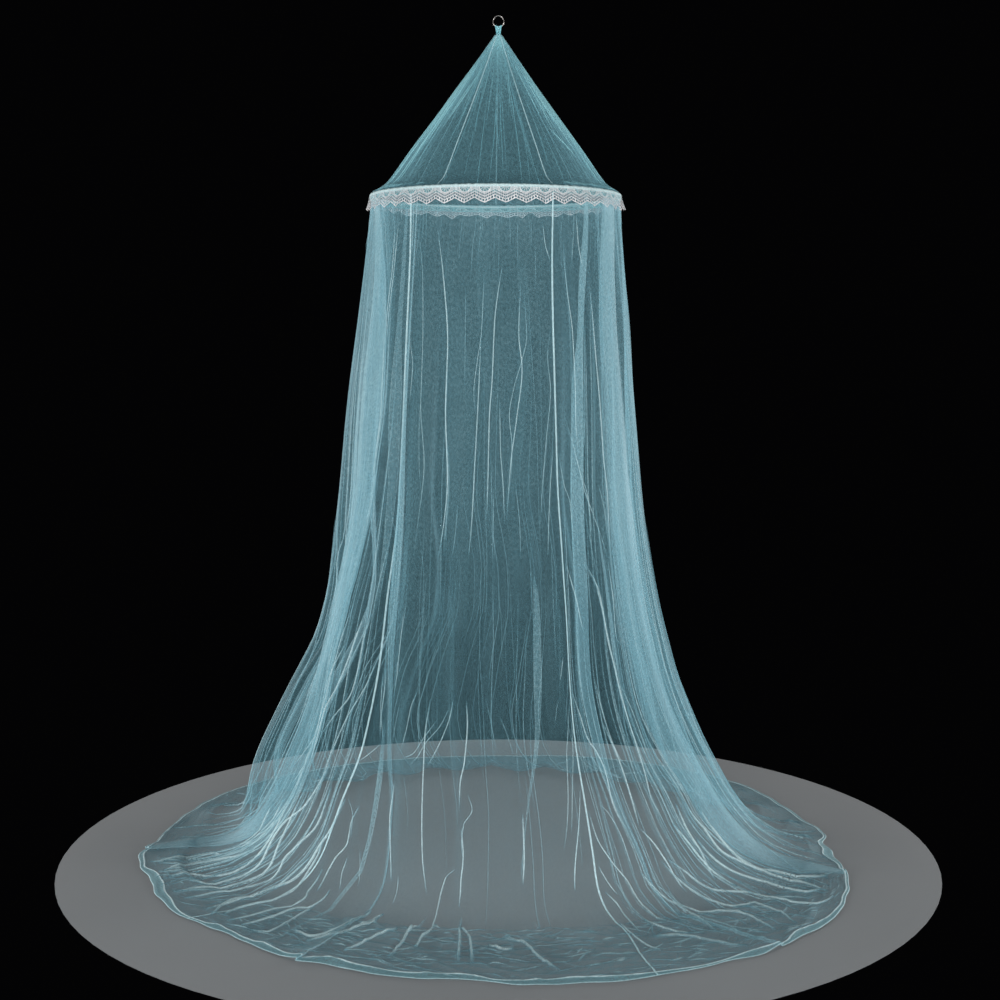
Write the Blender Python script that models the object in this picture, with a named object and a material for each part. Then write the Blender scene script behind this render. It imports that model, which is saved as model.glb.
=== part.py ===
"""Mosquito net canopy hung from one point: steel ring, cloth loop, seven-gore conical roof,
hoop in its casing with a scalloped lace trim, and a long flared wall that pools on the floor.

Metres, +Z up. The origin is the hanging point, at the top of the ring's hole.
Heights named below are measured up from the floor, which lies HOOK_HEIGHT under the origin.
Angles are in degrees round the vertical axis: 0 is the front (-Y) and +90 the right (+X).
"""
import math

import bmesh
import bpy
import numpy as np

# driving sizes
HOOK_HEIGHT = 2.042        # hanging point above the floor
GAP = 0.0003               # between pieces that touch
SEAM_GAP = 0.0005          # between the edges of two panels, which their slopes bring closer
CLOTH = 0.0015             # thickness of net, loop and tapes
HOOP_RADIUS = 0.300
HOOP_ROD = 0.005           # rod diameter
ROD_CLEARANCE = 0.0005     # between the rod and its casing
HOOP_OFFSET = -0.007       # the hoop hangs a little to the left of the ring

RING_RADIUS = 0.0131       # to the middle of the wire
RING_WIRE = 0.0030
LOOP_ARC = 40.0            # half of the stretch of wire that the loop is bunched on, in degrees
LOOP_CLEARANCE = 0.0006    # round the wire
NECK_HALF_WIDTH = 0.0042   # of the loop where it goes into the roof's neck
LOOP_TUCK = 0.0060         # how far the loop's ends reach down inside the neck

NECK_HEIGHT = 1.998
NECK_RADIUS = 0.0071
GORE_COUNT = 7
FIRST_SEAM = 25.7          # one roof seam lies this far to the right of the front

CASING_TOP = 1.6200
CASING_DEPTH = 0.0180
CASING_CLOTH = 0.0012
CASING_SLIT = 0.0010       # between the casing's two lower edges
CASING_CLOSES = 0.0010     # how far under the rod the casing's sides begin to draw together
CASING_TOP_SHARE = 0.62    # half width of the casing's flat top, as a share of its full half width
CASING_LINING_SHARE = 0.55 # the same inside the casing
SEGMENTS = 42              # round the hoop, a multiple of GORE_COUNT

LACE_SCALLOPS = 42
LACE_DROP = 0.0040         # from the casing's top down to the lace's upper edge
LACE_GAP = 1.4 * GAP       # between the casing and the lace
LACE_DEPTH = 0.0360        # to the notches between the scallops
SCALLOP_DEPTH = 0.0055
SCALLOP_FULLNESS = 0.8     # under 1 makes a scallop blunter than a sine arch
SCALLOP_COLUMNS = 3
LACE_FLARE = 0.0070        # how far the lower edge stands out
LACE_THICKNESS = 0.0012

SEAM_TAPE_WIDTH = 0.0060
SEAM_TAPE_THICKNESS = 0.0010
SEAM_TAPE_LIFT = 0.0006    # over the cloth
SEAM_MARGIN = 0.0020       # level cloth beyond the tape's edges
PLEAT_LAYER = 0.0045       # from one layer of a flat pleat to the next
PLEAT_TURN = 0.0020        # how far a pleat's folded edges bulge
PLEAT_RUNOUT = 0.045       # beside a pleat, where the cloth comes back to one layer

WALL_TOP = CASING_TOP - CASING_DEPTH - 1.5 * GAP
SWING_HEIGHT = 1.0         # from here down the wall swings from the side radius to the floor plan
LYING_POWER = 3            # how sharply the cloth changes from hanging to lying

# roof, from its neck to the hoop: radius, height
ROOF_LEVELS = (
    (NECK_RADIUS, NECK_HEIGHT),
    (0.066, 1.913),
    (0.132, 1.822),
    (0.203, 1.727),
    (0.270, 1.639),
    (0.2985, CASING_TOP + GAP + CLOTH * 0.5),
)

# wall, from the hoop to the floor at the sides: height, radius
WALL_LEVELS = (
    (WALL_TOP, 0.2995),
    (1.450, 0.3155),
    (1.270, 0.3340),
    (1.080, 0.3530),
    (0.870, 0.3760),
    (0.650, 0.4070),
    (0.500, 0.4550),
    (0.350, 0.5120),
    (0.220, 0.5720),
    (0.120, 0.6220),
    (0.050, 0.6640),
    (0.010, 0.7050),
)
# the part that lies on the floor: share of the way from where it lands to the hem, height
FLOOR_LEVELS = (
    (0.35, 0.0060),
    (0.70, 0.0030),
    (1.00, 0.0010),
)

# plan of the cloth on the floor: angle, radius where it lands, radius of the hem
FLOOR_PLAN = (
    (-180, 0.680, 0.868),
    (-150, 0.690, 0.888),
    (-125, 0.725, 0.902),
    (-112, 0.750, 0.915),
    (-95, 0.725, 0.885),
    (-75, 0.700, 0.866),
    (-50, 0.680, 0.832),
    (-30, 0.650, 0.814),
    (-10, 0.625, 0.828),
    (10, 0.620, 0.858),
    (30, 0.665, 0.886),
    (50, 0.690, 0.882),
    (70, 0.700, 0.880),
    (86, 0.690, 0.826),
    (100, 0.680, 0.857),
    (120, 0.665, 0.864),
    (140, 0.670, 0.905),
    (160, 0.685, 0.917),
)

# heights at which the tables below are stated: the last two are where the cloth lands, and the hem
STATION_HEIGHTS = (WALL_TOP, 1.080, 0.650, 0.350, 0.010, 0.001)

# the two seams that join the panels: angle at each station
SEAM_LEFT = (-40.0, -40.0, -41.5, -41.0, -46.0, -53.0)
SEAM_RIGHT = (24.5, 23.3, 23.6, 21.8, 21.5, 21.5)

# flat pleats, where the cloth lies folded in three layers: angle and width at each station
PLEATS = {
    "front_left": (
        (-36.0, -35.5, -35.5, -33.0, -31.0, -37.5),
        (0.012, 0.030, 0.024, 0.018, 0.012, 0.006),
    ),
    "front_right": (
        (37.0, 35.0, 30.5, 31.5, 38.0, 42.0),
        (0.010, 0.022, 0.034, 0.036, 0.024, 0.010),
    ),
    "right": (
        (66.0, 57.0, 57.0, 59.0, 76.0, 82.0),
        (0.028, 0.056, 0.074, 0.072, 0.050, 0.034),
    ),
    "left": (
        (-74.0, -61.0, -69.0, -68.0, -80.0, -88.0),
        (0.018, 0.048, 0.056, 0.064, 0.050, 0.018),
    ),
}

# soft folds: angle of the crest, depth of the valley to its right at the fullest height
SOFT_FOLDS = (
    (-21, 0.026),
    (-9, 0.018),
    (2, 0.022),
    (13, 0.030),
    (44, 0.050),
    (78, 0.058),
    (90, 0.046),
    (103, 0.066),
    (119, 0.050),
    (134, 0.060),
    (152, 0.038),
    (169, 0.052),
    (186, 0.034),
    (203, 0.056),
    (219, 0.044),
    (236, 0.068),
    (251, 0.050),
    (266, 0.060),
    (302, 0.052),
)
FOLD_GROWTH = (0.0, 0.40, 0.80, 1.0, 0.75, 0.28)  # share of a fold's depth at each station
FOLD_ON_FLOOR = 0.50       # a fold's height on the floor as a share of its depth on the wall
FOLD_COLUMNS = 4           # columns of the wall's grid from one crest to the next
COLUMN_CLEARANCE = 2.2     # degrees at least, from such a column to a seam or a pleat

SHARP_EDGE = 50.0          # degrees between faces, from which an edge is drawn sharp

NET = ("net", (0.30, 0.60, 0.66), 0.75, 0.0)
NET_DENSE = ("net_folded", (0.42, 0.72, 0.77), 0.75, 0.0)
LACE = ("lace", (0.86, 0.87, 0.90), 0.80, 0.0)
STEEL = ("steel", (0.30, 0.29, 0.28), 0.35, 1.0)
HOOP_FINISH = ("hoop_rod", (0.75, 0.78, 0.78), 0.40, 0.0)


def material(finish):
    """One Principled material from a finish: its name, colour, roughness and metallic value."""
    name, colour, roughness, metallic = finish
    made = bpy.data.materials.get(name) or bpy.data.materials.new(name)
    made.use_nodes = True
    shader = made.node_tree.nodes["Principled BSDF"]
    shader.inputs["Base Color"].default_value = (*colour, 1.0)
    shader.inputs["Roughness"].default_value = roughness
    shader.inputs["Metallic"].default_value = metallic
    made.diffuse_color = (*colour, 1.0)
    return made


def new_object(name, mesh, finish):
    """Puts a mesh into the scene under its part name."""
    mesh.materials.append(material(finish))
    mesh.shade_smooth()
    mesh.set_sharp_from_angle(angle=math.radians(SHARP_EDGE))
    part = bpy.data.objects.new(name, mesh)
    bpy.context.scene.collection.objects.link(part)
    return part


def smooth_read(x, xs, ys):
    """A curve through the points (xs, ys) that never overshoots them: cubic pieces whose slope
    at a point is the harmonic mean of the chords on its two sides."""
    xs, ys = np.asarray(xs, float), np.asarray(ys, float)
    steps = np.diff(xs)
    chords = np.diff(ys) / steps
    before, after = chords[:-1], chords[1:]
    same_way = before * after > 0
    total = np.where(same_way, before + after, 1.0)
    inner = np.where(same_way, 2.0 * before * after / total, 0.0)
    slopes = np.concatenate([chords[:1], inner, chords[-1:]])
    x = np.clip(x, xs[0], xs[-1])
    i = np.clip(np.searchsorted(xs, x, side="right") - 1, 0, len(xs) - 2)
    u = (x - xs[i]) / steps[i]
    rise = (3.0 - 2.0 * u) * u * u
    start_bend = u * (1.0 - u) ** 2
    end_bend = u * u * (u - 1.0)
    value = ys[i] * (1.0 - rise) + ys[i + 1] * rise
    return value + steps[i] * (slopes[i] * start_bend + slopes[i + 1] * end_bend)


def round_read(angle, angles, values):
    """smooth_read on a table that closes on itself after 360 degrees."""
    turned = np.mod(np.asarray(angle, float) + 180.0, 360.0) - 180.0
    table = [(a + turn, v) for turn in (-360, 0, 360) for a, v in zip(angles, values)]
    xs, ys = zip(*table)
    return smooth_read(turned, xs, ys)


def at_point(angle, radius, height):
    """World position for an angle, a radius from the hoop's axis and a height above the floor."""
    turn = np.radians(angle)
    x = HOOP_OFFSET + radius * np.sin(turn)
    y = -radius * np.cos(turn)
    return np.stack(np.broadcast_arrays(x, y, height - HOOK_HEIGHT), axis=-1)


def grid_sheet(name, points, thickness, finish, round_trip=False):
    """A sheet of cloth through a grid of points, rows running down and columns to the right
    as seen from outside, thickened equally to both sides."""
    rows, columns = points.shape[:2]
    index = np.arange(rows * columns).reshape(rows, columns)
    if round_trip:
        index = np.concatenate([index, index[:, :1]], axis=1)
    faces = np.stack([index[:-1, :-1], index[1:, :-1], index[1:, 1:], index[:-1, 1:]], axis=-1)
    mesh = bpy.data.meshes.new(name)
    mesh.from_pydata(points.reshape(-1, 3).tolist(), [], faces.reshape(-1, 4).tolist())
    part = new_object(name, mesh, finish)
    thick = part.modifiers.new("cloth thickness", "SOLIDIFY")
    thick.thickness = thickness
    thick.offset = 0.0
    thick.use_rim = True
    return part


def turned_piece(name, outline, centre, axis, steps, finish):
    """A ring made by spinning a closed outline, a list of (radius, height), once round an axis."""
    shape = bmesh.new()
    across = (1.0, 0.0, 0.0)
    corners = []
    for radius, height in outline:
        place = [c + radius * a + height * h for c, a, h in zip(centre, across, axis)]
        corners.append(shape.verts.new(place))
    edges = [shape.edges.new((a, b)) for a, b in zip(corners, corners[1:] + corners[:1])]
    bmesh.ops.spin(
        shape,
        geom=corners + edges,
        cent=centre,
        axis=axis,
        angle=2.0 * math.pi,
        steps=steps,
        use_merge=True,
        use_duplicate=False,
    )
    bmesh.ops.recalc_face_normals(shape, faces=shape.faces)
    mesh = bpy.data.meshes.new(name)
    shape.to_mesh(mesh)
    shape.free()
    return new_object(name, mesh, finish)


def round_section(radius, middle, middle_height, sides):
    """The outline of a round wire in a turned piece."""
    turns = [2.0 * math.pi * k / sides for k in range(sides)]
    return [(middle + radius * math.cos(t), middle_height + radius * math.sin(t)) for t in turns]


def hanging_ring():
    """Steel ring that goes over a hook: its hole faces the front."""
    centre = (0.0, 0.0, RING_WIRE / 2 - RING_RADIUS)
    outline = round_section(RING_WIRE / 2, RING_RADIUS, 0.0, 8)
    turned_piece("hanging_ring", outline, centre, (0.0, 1.0, 0.0), 24, STEEL)


def hanging_loop():
    """Doubled strip of cloth that passes through the ring and is gathered into the roof's neck.

    Its middle wraps the underside of the wire as part of a larger tube about the same centre
    line; both ends then run straight down and draw together."""
    middle = RING_WIRE / 2 - RING_RADIUS
    tube = RING_WIRE / 2 + LOOP_CLEARANCE + CLOTH / 2
    foot = NECK_HEIGHT - HOOK_HEIGHT - LOOP_TUCK
    foot_spread = NECK_HALF_WIDTH / math.sin(math.radians(LOOP_ARC))
    around = np.radians(np.linspace(LOOP_ARC, -LOOP_ARC, 7))
    side = np.sin(around)
    wire_z = middle - RING_RADIUS * np.cos(around)

    def strand(share, y):
        """A row across one hanging end, a share of the way from the wire down to the foot."""
        x = side * (RING_RADIUS + (foot_spread - RING_RADIUS) * share)
        return np.stack([x, np.full_like(x, y), wire_z + (foot - wire_z) * share], axis=-1)

    over_wire = []
    for turn in np.radians(np.linspace(-90, 90, 7)):
        reach = RING_RADIUS - tube * math.cos(turn)
        y = np.full_like(side, tube * math.sin(turn))
        over_wire.append(np.stack([reach * side, y, middle - reach * np.cos(around)], axis=-1))
    front = [strand(1.0, -tube), strand(0.5, -tube)]
    back = [strand(0.5, tube), strand(1.0, tube)]
    grid_sheet("hanging_loop", np.array(front + over_wire + back), CLOTH, NET_DENSE)


def roof_gores():
    """Seven gores that taper from the hoop to the neck, each sewn to the next along a straight seam."""
    radii, heights = np.array(ROOF_LEVELS).T
    width = 360.0 / GORE_COUNT
    share = np.linspace(0.0, 1.0, SEGMENTS // GORE_COUNT + 1)
    trim = np.degrees(SEAM_GAP / 2 / radii)[:, None]
    lean = (heights - ROOF_LEVELS[-1][1]) / (NECK_HEIGHT - ROOF_LEVELS[-1][1])
    for k in range(GORE_COUNT):
        left = FIRST_SEAM + k * width
        angle = (left + trim) * (1 - share) + (left + width - trim) * share
        points = at_point(angle, radii[:, None], heights[:, None])
        points[..., 0] -= HOOP_OFFSET * lean[:, None]
        grid_sheet(f"roof_gore_{k + 1}", points, CLOTH, NET)


def hoop():
    """Springy rod bent into a ring, which holds the canopy open."""
    height = CASING_TOP - CASING_CLOTH - ROD_CLEARANCE - HOOP_ROD / 2 - HOOK_HEIGHT
    outline = round_section(HOOP_ROD / 2, HOOP_RADIUS, 0.0, 8)
    turned_piece("hoop", outline, (HOOP_OFFSET, 0.0, height), (0.0, 0.0, 1.0), SEGMENTS, HOOP_FINISH)


def hoop_casing():
    """Strip of cloth folded over the hoop, its two lower edges sewn to the wall: the section is
    an upside-down U with a narrow slit below."""
    inner = HOOP_ROD / 2 + ROD_CLEARANCE
    outer = inner + CASING_CLOTH
    slit = CASING_SLIT / 2
    rod = -(CASING_CLOTH + ROD_CLEARANCE + HOOP_ROD / 2)
    under_rod = rod - HOOP_ROD / 2 - CASING_CLOSES
    half = [
        (slit + CASING_CLOTH, -CASING_DEPTH),
        (outer, under_rod),
        (outer, rod),
        (outer * CASING_TOP_SHARE, 0.0),
    ]
    back = [
        (inner * CASING_LINING_SHARE, -CASING_CLOTH),
        (inner, rod),
        (inner, under_rod),
        (slit, -CASING_DEPTH),
    ]
    right = [(HOOP_RADIUS + x, z) for x, z in half]
    left = [(HOOP_RADIUS - x, z) for x, z in reversed(half)]
    inside_left = [(HOOP_RADIUS - x, z) for x, z in reversed(back)]
    inside_right = [(HOOP_RADIUS + x, z) for x, z in back]
    outline = right + left + inside_left + inside_right
    centre = (HOOP_OFFSET, 0.0, CASING_TOP - HOOK_HEIGHT)
    turned_piece("hoop_casing", outline, centre, (0.0, 0.0, 1.0), SEGMENTS, NET_DENSE)


def lace_trim():
    """Scalloped lace sewn on outside the casing's upper edge, hanging clear of it and flaring."""
    columns = LACE_SCALLOPS * SCALLOP_COLUMNS
    angle = 360.0 * np.arange(columns) / columns
    in_scallop = np.mod(np.arange(columns), SCALLOP_COLUMNS) / SCALLOP_COLUMNS
    edge = LACE_DEPTH + SCALLOP_DEPTH * np.sin(math.pi * in_scallop) ** SCALLOP_FULLNESS
    casing = HOOP_RADIUS + HOOP_ROD / 2 + ROD_CLEARANCE + CASING_CLOTH
    depths = np.stack([np.zeros(columns), edge])
    radius = casing + LACE_GAP + LACE_THICKNESS / 2 + LACE_FLARE * depths / LACE_DEPTH
    points = at_point(angle, radius, CASING_TOP - LACE_DROP - depths)
    grid_sheet("lace_trim", points, LACE_THICKNESS, LACE, round_trip=True)


def wall_rows():
    """Height, side radius, share of the floor part, and position between the stations, by row.

    A position between stations is 0 at the hoop, 1 at the next station and so on."""
    heights = [h for h, r in WALL_LEVELS] + [h for s, h in FLOOR_LEVELS]
    radii = [r for h, r in WALL_LEVELS] + [WALL_LEVELS[-1][1]] * len(FLOOR_LEVELS)
    spread = np.array([0.0] * len(WALL_LEVELS) + [s for s, h in FLOOR_LEVELS])
    hanging = np.interp(
        -np.array(heights), -np.array(STATION_HEIGHTS[:-1]), np.arange(len(STATION_HEIGHTS) - 1)
    )
    landed = len(STATION_HEIGHTS) - 2 + spread
    station = np.where(spread > 0, landed, hanging)
    return np.array(heights), np.array(radii), spread, station


def by_station(values, station):
    """Reads a row of station values at each grid row, as a column."""
    return smooth_read(station, np.arange(len(values)), values)[:, None]


def wall_surface(angle, lift):
    """Points of the wall for an angle at each row and column, lifted off it by lift.

    The outline swings from the side radius to the floor plan's own radius as it nears the floor.
    The lift is along the outline's normal: outward where the cloth hangs, upward where it lies."""
    heights, side, spread, station = wall_rows()
    plan_angle, lands, hems = (np.array(column) for column in zip(*FLOOR_PLAN))
    landing = round_read(angle, plan_angle, lands)
    hem = round_read(angle, plan_angle, hems)
    nearness = np.clip(1.0 - heights / SWING_HEIGHT, 0.0, 1.0)[:, None] ** 2
    radius = side[:, None] + (landing - side[-1]) * nearness + (hem - landing) * spread[:, None]
    run = np.gradient(radius, axis=0)
    drop = np.gradient(heights)[:, None]
    length = np.hypot(run, drop)
    flat = np.clip(run / length, 0.0, 1.0) ** LYING_POWER
    out = -drop / length * (1.0 - flat)
    up = run / length
    return at_point(angle, radius + out * lift, heights[:, None] + up * lift), flat


def fold_table():
    """Crest angles and valley depths, carried on past a full turn at both ends."""
    crests, depths = (np.array(column) for column in zip(*SOFT_FOLDS))
    turns = (-360.0, 0.0, 360.0)
    return np.concatenate([crests + turn for turn in turns]), np.tile(depths, len(turns))


def soft_folds(angle, flat, station):
    """Height of the soft folds: valleys sunk between the crests of the hanging cloth, each a
    raised cosine from crest to crest, which turn into ridges standing on the floor."""
    crests, depths = fold_table()
    k = np.clip(np.searchsorted(crests, angle, side="right") - 1, 0, len(crests) - 2)
    across = (angle - crests[k]) / (crests[k + 1] - crests[k])
    valley = 0.5 - 0.5 * np.cos(2.0 * math.pi * across)
    depth = by_station(FOLD_GROWTH, station) * depths[k]
    return depth * (FOLD_ON_FLOOR * (1.0 - valley) * flat - valley * (1.0 - flat))


def fold_columns(start, stop):
    """Angles of the grid columns that carry the soft folds between two angles."""
    crests, depths = fold_table()
    share = np.arange(FOLD_COLUMNS) / FOLD_COLUMNS
    steps = np.diff(crests)[:, None]
    every = (crests[:-1, None] + share * steps).ravel()
    inside = (every > start + COLUMN_CLEARANCE) & (every < stop - COLUMN_CLEARANCE)
    return every[inside][None, :]


def pleat_columns(name, station, radius):
    """Angles and lifts of the eight columns that make one flat pleat.

    The cloth runs right across the pleat's width, turns back under itself and runs right again.
    Each layer lies PLEAT_LAYER deeper; on the floor the stack is raised to lie on it."""
    angles, widths = PLEATS[name]
    middle = by_station(angles, station)
    width = by_station(widths, station)
    path = (  # share of the width, nudge along the wall, layers deep
        (0.0, 0.0, 0.0),
        (1.0, -PLEAT_TURN, 0.0),
        (1.0, PLEAT_TURN, 0.5),
        (1.0, -PLEAT_TURN, 1.0),
        (0.0, PLEAT_TURN, 1.0),
        (0.0, -PLEAT_TURN, 1.5),
        (0.0, PLEAT_TURN, 2.0),
        (1.0, 0.0, 2.0),
    )
    share, nudge, depth = (np.array(column)[None, :] for column in zip(*path))
    along = (share - 0.5) * width + nudge
    angle = middle + np.degrees(along / radius)
    return angle, np.broadcast_to(-depth * PLEAT_LAYER, angle.shape)


def wall_panel(name, left_line, right_line, pleats, turn=0.0):
    """One panel of the wall, between two seams, with its pleats from left to right.

    Beside each seam a narrow margin stays as high as the seam, so that the tape lies flat on it."""
    heights, side, spread, station = wall_rows()
    trim = np.degrees(SEAM_GAP / 2 / side)[:, None]
    margin = np.degrees((SEAM_TAPE_WIDTH / 2 + SEAM_MARGIN) / side)[:, None]
    left = by_station(left_line, station)
    right = by_station(right_line, station) + turn
    level = np.zeros_like(left)
    stops = [(np.concatenate([left + trim, left + margin], axis=1), level, left)]
    for pleat in pleats:
        angle, lift = pleat_columns(pleat, station, side[:, None])
        if angle.mean() < left.mean():
            angle = angle + 360.0
        stops.append((angle, lift, angle))
    stops.append((np.concatenate([right - margin, right - trim], axis=1), level, right))
    angles, stack, fold_angles = [], [], []
    for angle, lift, fold_angle in stops:
        if angles:
            start, stop = angles[-1][:, -1:], angle[:, :1]
            first, last = float(start.mean()), float(stop.mean())
            wanted = fold_columns(first, last)
            share = (wanted - first) / (last - first)
            between = start * (1 - share) + stop * share
            beyond = np.radians(between - start) * side[:, None] / PLEAT_RUNOUT
            angles.append(between)
            stack.append(stack[-1][:, -1:] * np.clip(1.0 - beyond, 0.0, 1.0))
            fold_angles.append(np.broadcast_to(wanted, between.shape))
        angles.append(angle)
        stack.append(np.broadcast_to(lift, angle.shape))
        fold_angles.append(np.full(angle.shape, float(fold_angle.mean())))
    angle, stack, fold_angle = (np.concatenate(part, axis=1) for part in (angles, stack, fold_angles))
    flat = wall_surface(angle, 0.0)[1]
    lift = soft_folds(fold_angle, flat, station) + stack + 2 * PLEAT_LAYER * flat
    grid_sheet(name, wall_surface(angle, lift)[0], CLOTH, NET)


def seam_tape(name, line):
    """Narrow tape that binds a seam, sewn on outside the two edges that meet under it."""
    heights, side, spread, station = wall_rows()
    middle = by_station(line, station)
    share = np.array([[-0.5, 0.5]])
    angle = middle + np.degrees(share * SEAM_TAPE_WIDTH / side[:, None])
    flat = wall_surface(angle, 0.0)[1]
    over = CLOTH / 2 + SEAM_TAPE_THICKNESS / 2 + SEAM_TAPE_LIFT
    folds = soft_folds(np.full(angle.shape, middle.mean()), flat, station)
    lift = folds + 2 * PLEAT_LAYER * flat + over
    grid_sheet(name, wall_surface(angle, lift)[0], SEAM_TAPE_THICKNESS, NET_DENSE)


def build():
    for old in list(bpy.data.objects):
        bpy.data.objects.remove(old, do_unlink=True)
    hanging_ring()
    hanging_loop()
    roof_gores()
    hoop()
    hoop_casing()
    lace_trim()
    wall_panel("wall_front_panel", SEAM_LEFT, SEAM_RIGHT, ["front_left"])
    wall_panel("wall_main_panel", SEAM_RIGHT, SEAM_LEFT, ["front_right", "right", "left"], turn=360.0)
    seam_tape("seam_tape_left", SEAM_LEFT)
    seam_tape("seam_tape_right", SEAM_RIGHT)


build()
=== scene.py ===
"""Mosquito net canopy: steel ring, cloth loop, seven-gore roof, hoop in its casing, lace trim, and
a long flared wall of sheer net that pools on the floor.

Metres, +Z up. The origin is the hanging point, at the top of the ring's hole. Angles are in
degrees round the vertical axis: 0 is the front (-Y) and +90 the right (+X).
"""
import math

import bpy
import numpy as np
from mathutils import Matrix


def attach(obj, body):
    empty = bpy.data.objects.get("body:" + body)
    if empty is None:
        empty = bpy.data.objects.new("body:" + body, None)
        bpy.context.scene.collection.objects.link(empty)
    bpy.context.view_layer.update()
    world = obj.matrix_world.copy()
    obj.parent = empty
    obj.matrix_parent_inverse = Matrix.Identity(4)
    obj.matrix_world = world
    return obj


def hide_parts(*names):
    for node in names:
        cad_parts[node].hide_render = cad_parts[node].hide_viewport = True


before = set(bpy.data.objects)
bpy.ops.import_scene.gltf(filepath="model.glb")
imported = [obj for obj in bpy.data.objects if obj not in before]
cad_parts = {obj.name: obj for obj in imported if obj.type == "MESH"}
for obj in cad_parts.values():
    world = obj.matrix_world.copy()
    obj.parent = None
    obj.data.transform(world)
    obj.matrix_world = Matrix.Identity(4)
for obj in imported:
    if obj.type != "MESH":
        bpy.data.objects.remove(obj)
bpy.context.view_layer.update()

# ------------------------------------------------------------
# Hanging ring: a small welded ring of darkened steel wire that goes over a ceiling hook.
# ------------------------------------------------------------
RING_RADIUS = 0.0131
RING_WIRE = 0.0030
RING_CENTRE = RING_WIRE / 2 - RING_RADIUS


class Field:
    """A value that varies over a surface. It wraps a node's socket, so that shader maths reads as
    plain expressions: each operator adds the Math node that does it."""

    def __init__(self, finish, socket):
        self.finish = finish
        self.socket = socket

    def maths(self, operation, *others):
        """The Math node for an operation, on these values."""
        return self.finish.read("ShaderNodeMath", {"operation": operation}, *others)

    def __add__(self, other):
        return self.maths("ADD", self, other)

    def __sub__(self, other):
        return self.maths("SUBTRACT", self, other)

    def __rsub__(self, other):
        return self.maths("SUBTRACT", other, self)

    def __mul__(self, other):
        return self.maths("MULTIPLY", self, other)

    def __truediv__(self, other):
        return self.maths("DIVIDE", self, other)

    def __rtruediv__(self, other):
        return self.maths("DIVIDE", other, self)

    def __pow__(self, other):
        return self.maths("POWER", self, other)

    def __neg__(self):
        return self.maths("MULTIPLY", self, -1.0)

    __radd__ = __add__
    __rmul__ = __mul__

    def __abs__(self):
        return self.maths("ABSOLUTE", self)

    def fract(self):
        return self.maths("FRACT", self)

    def cos(self):
        return self.maths("COSINE", self)

    def exp(self):
        return self.maths("EXPONENT", self)

    def least(self, other):
        return self.maths("MINIMUM", self, other)

    def most(self, other):
        return self.maths("MAXIMUM", self, other)

    def step(self, low, high, start=0.0, end=1.0):
        """Rises smoothly from start to end while this value goes from low to high."""
        settings = {"interpolation_type": "SMOOTHSTEP"}
        return self.finish.read("ShaderNodeMapRange", settings, self, low, high, start, end)


class Finish:
    """A material: its nodes are made by add, and its values are read as Fields."""

    def __init__(self, name):
        self.material = bpy.data.materials.new(name)
        self.material.use_nodes = True
        self.tree = self.material.node_tree
        self.tree.nodes.clear()

    def add(self, kind, settings=None, *values, **named):
        """A node of a type, with its settings, then its sockets' values or links: in order, or
        by name with _ for a space."""
        node = self.tree.nodes.new(kind)
        for key, setting in (settings or {}).items():
            setattr(node, key, setting)
        sockets = dict(enumerate(values))
        sockets.update({key.replace("_", " "): value for key, value in named.items()})
        for key, value in sockets.items():
            if isinstance(value, Field):
                self.tree.links.new(value.socket, node.inputs[key])
            else:
                node.inputs[key].default_value = value
        return node

    def read(self, kind, settings=None, *values, out=0, **named):
        """One of a new node's outputs."""
        return Field(self, self.add(kind, settings, *values, **named).outputs[out])

    def place(self):
        """The piece's own coordinates, in metres."""
        return self.read("ShaderNodeTexCoord", out="Object")

    def flat(self):
        """The piece's UV map, in metres on the flat cloth: across and down."""
        uv = self.read("ShaderNodeUVMap", {"uv_map": "cloth"})
        parts = self.add("ShaderNodeSeparateXYZ", None, uv)
        return uv, Field(self, parts.outputs[0]), Field(self, parts.outputs[1])

    def mark(self, name):
        """A number stored at each point of the mesh."""
        return self.read("ShaderNodeAttribute", {"attribute_name": name}, out="Fac")

    def noise(self, place, scale, detail=2.0, rough=0.5):
        """Cloudy noise, about 0 to 1. scale is how many clouds go into each unit of place."""
        sockets = {"Scale": scale, "Detail": detail, "Roughness": rough}
        return self.read("ShaderNodeTexNoise", None, place, **sockets)

    def mix(self, share, first, second):
        """One colour blended into another. A Mix node's colours are its inputs 6 and 7, and the
        blend is its output 2."""
        node = self.add("ShaderNodeMix", {"data_type": "RGBA"}, Factor=share)
        node.inputs[6].default_value = (*first, 1.0)
        node.inputs[7].default_value = (*second, 1.0)
        return Field(self, node.outputs[2])

    def bump(self, height, distance, strength=1.0):
        """The normal of a surface raised by height, whose 1 stands this many metres high."""
        sockets = {"Height": height, "Distance": distance, "Strength": strength}
        return self.read("ShaderNodeBump", None, out="Normal", **sockets)

    def surface(self, **sockets):
        """The Principled shader, joined to the output."""
        node = self.add("ShaderNodeBsdfPrincipled", None, **sockets)
        out = self.add("ShaderNodeOutputMaterial")
        self.tree.links.new(node.outputs[0], out.inputs["Surface"])
        return self.material


def together(*parts):
    """Points, or flat places, from their coordinates: arrays that fit one another's shapes."""
    return np.stack(np.broadcast_arrays(*parts), axis=-1)


def in_scene(name, data):
    """A new object of this mesh, light or camera."""
    made = bpy.data.objects.new(name, data)
    bpy.context.scene.collection.objects.link(made)
    return made


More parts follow.
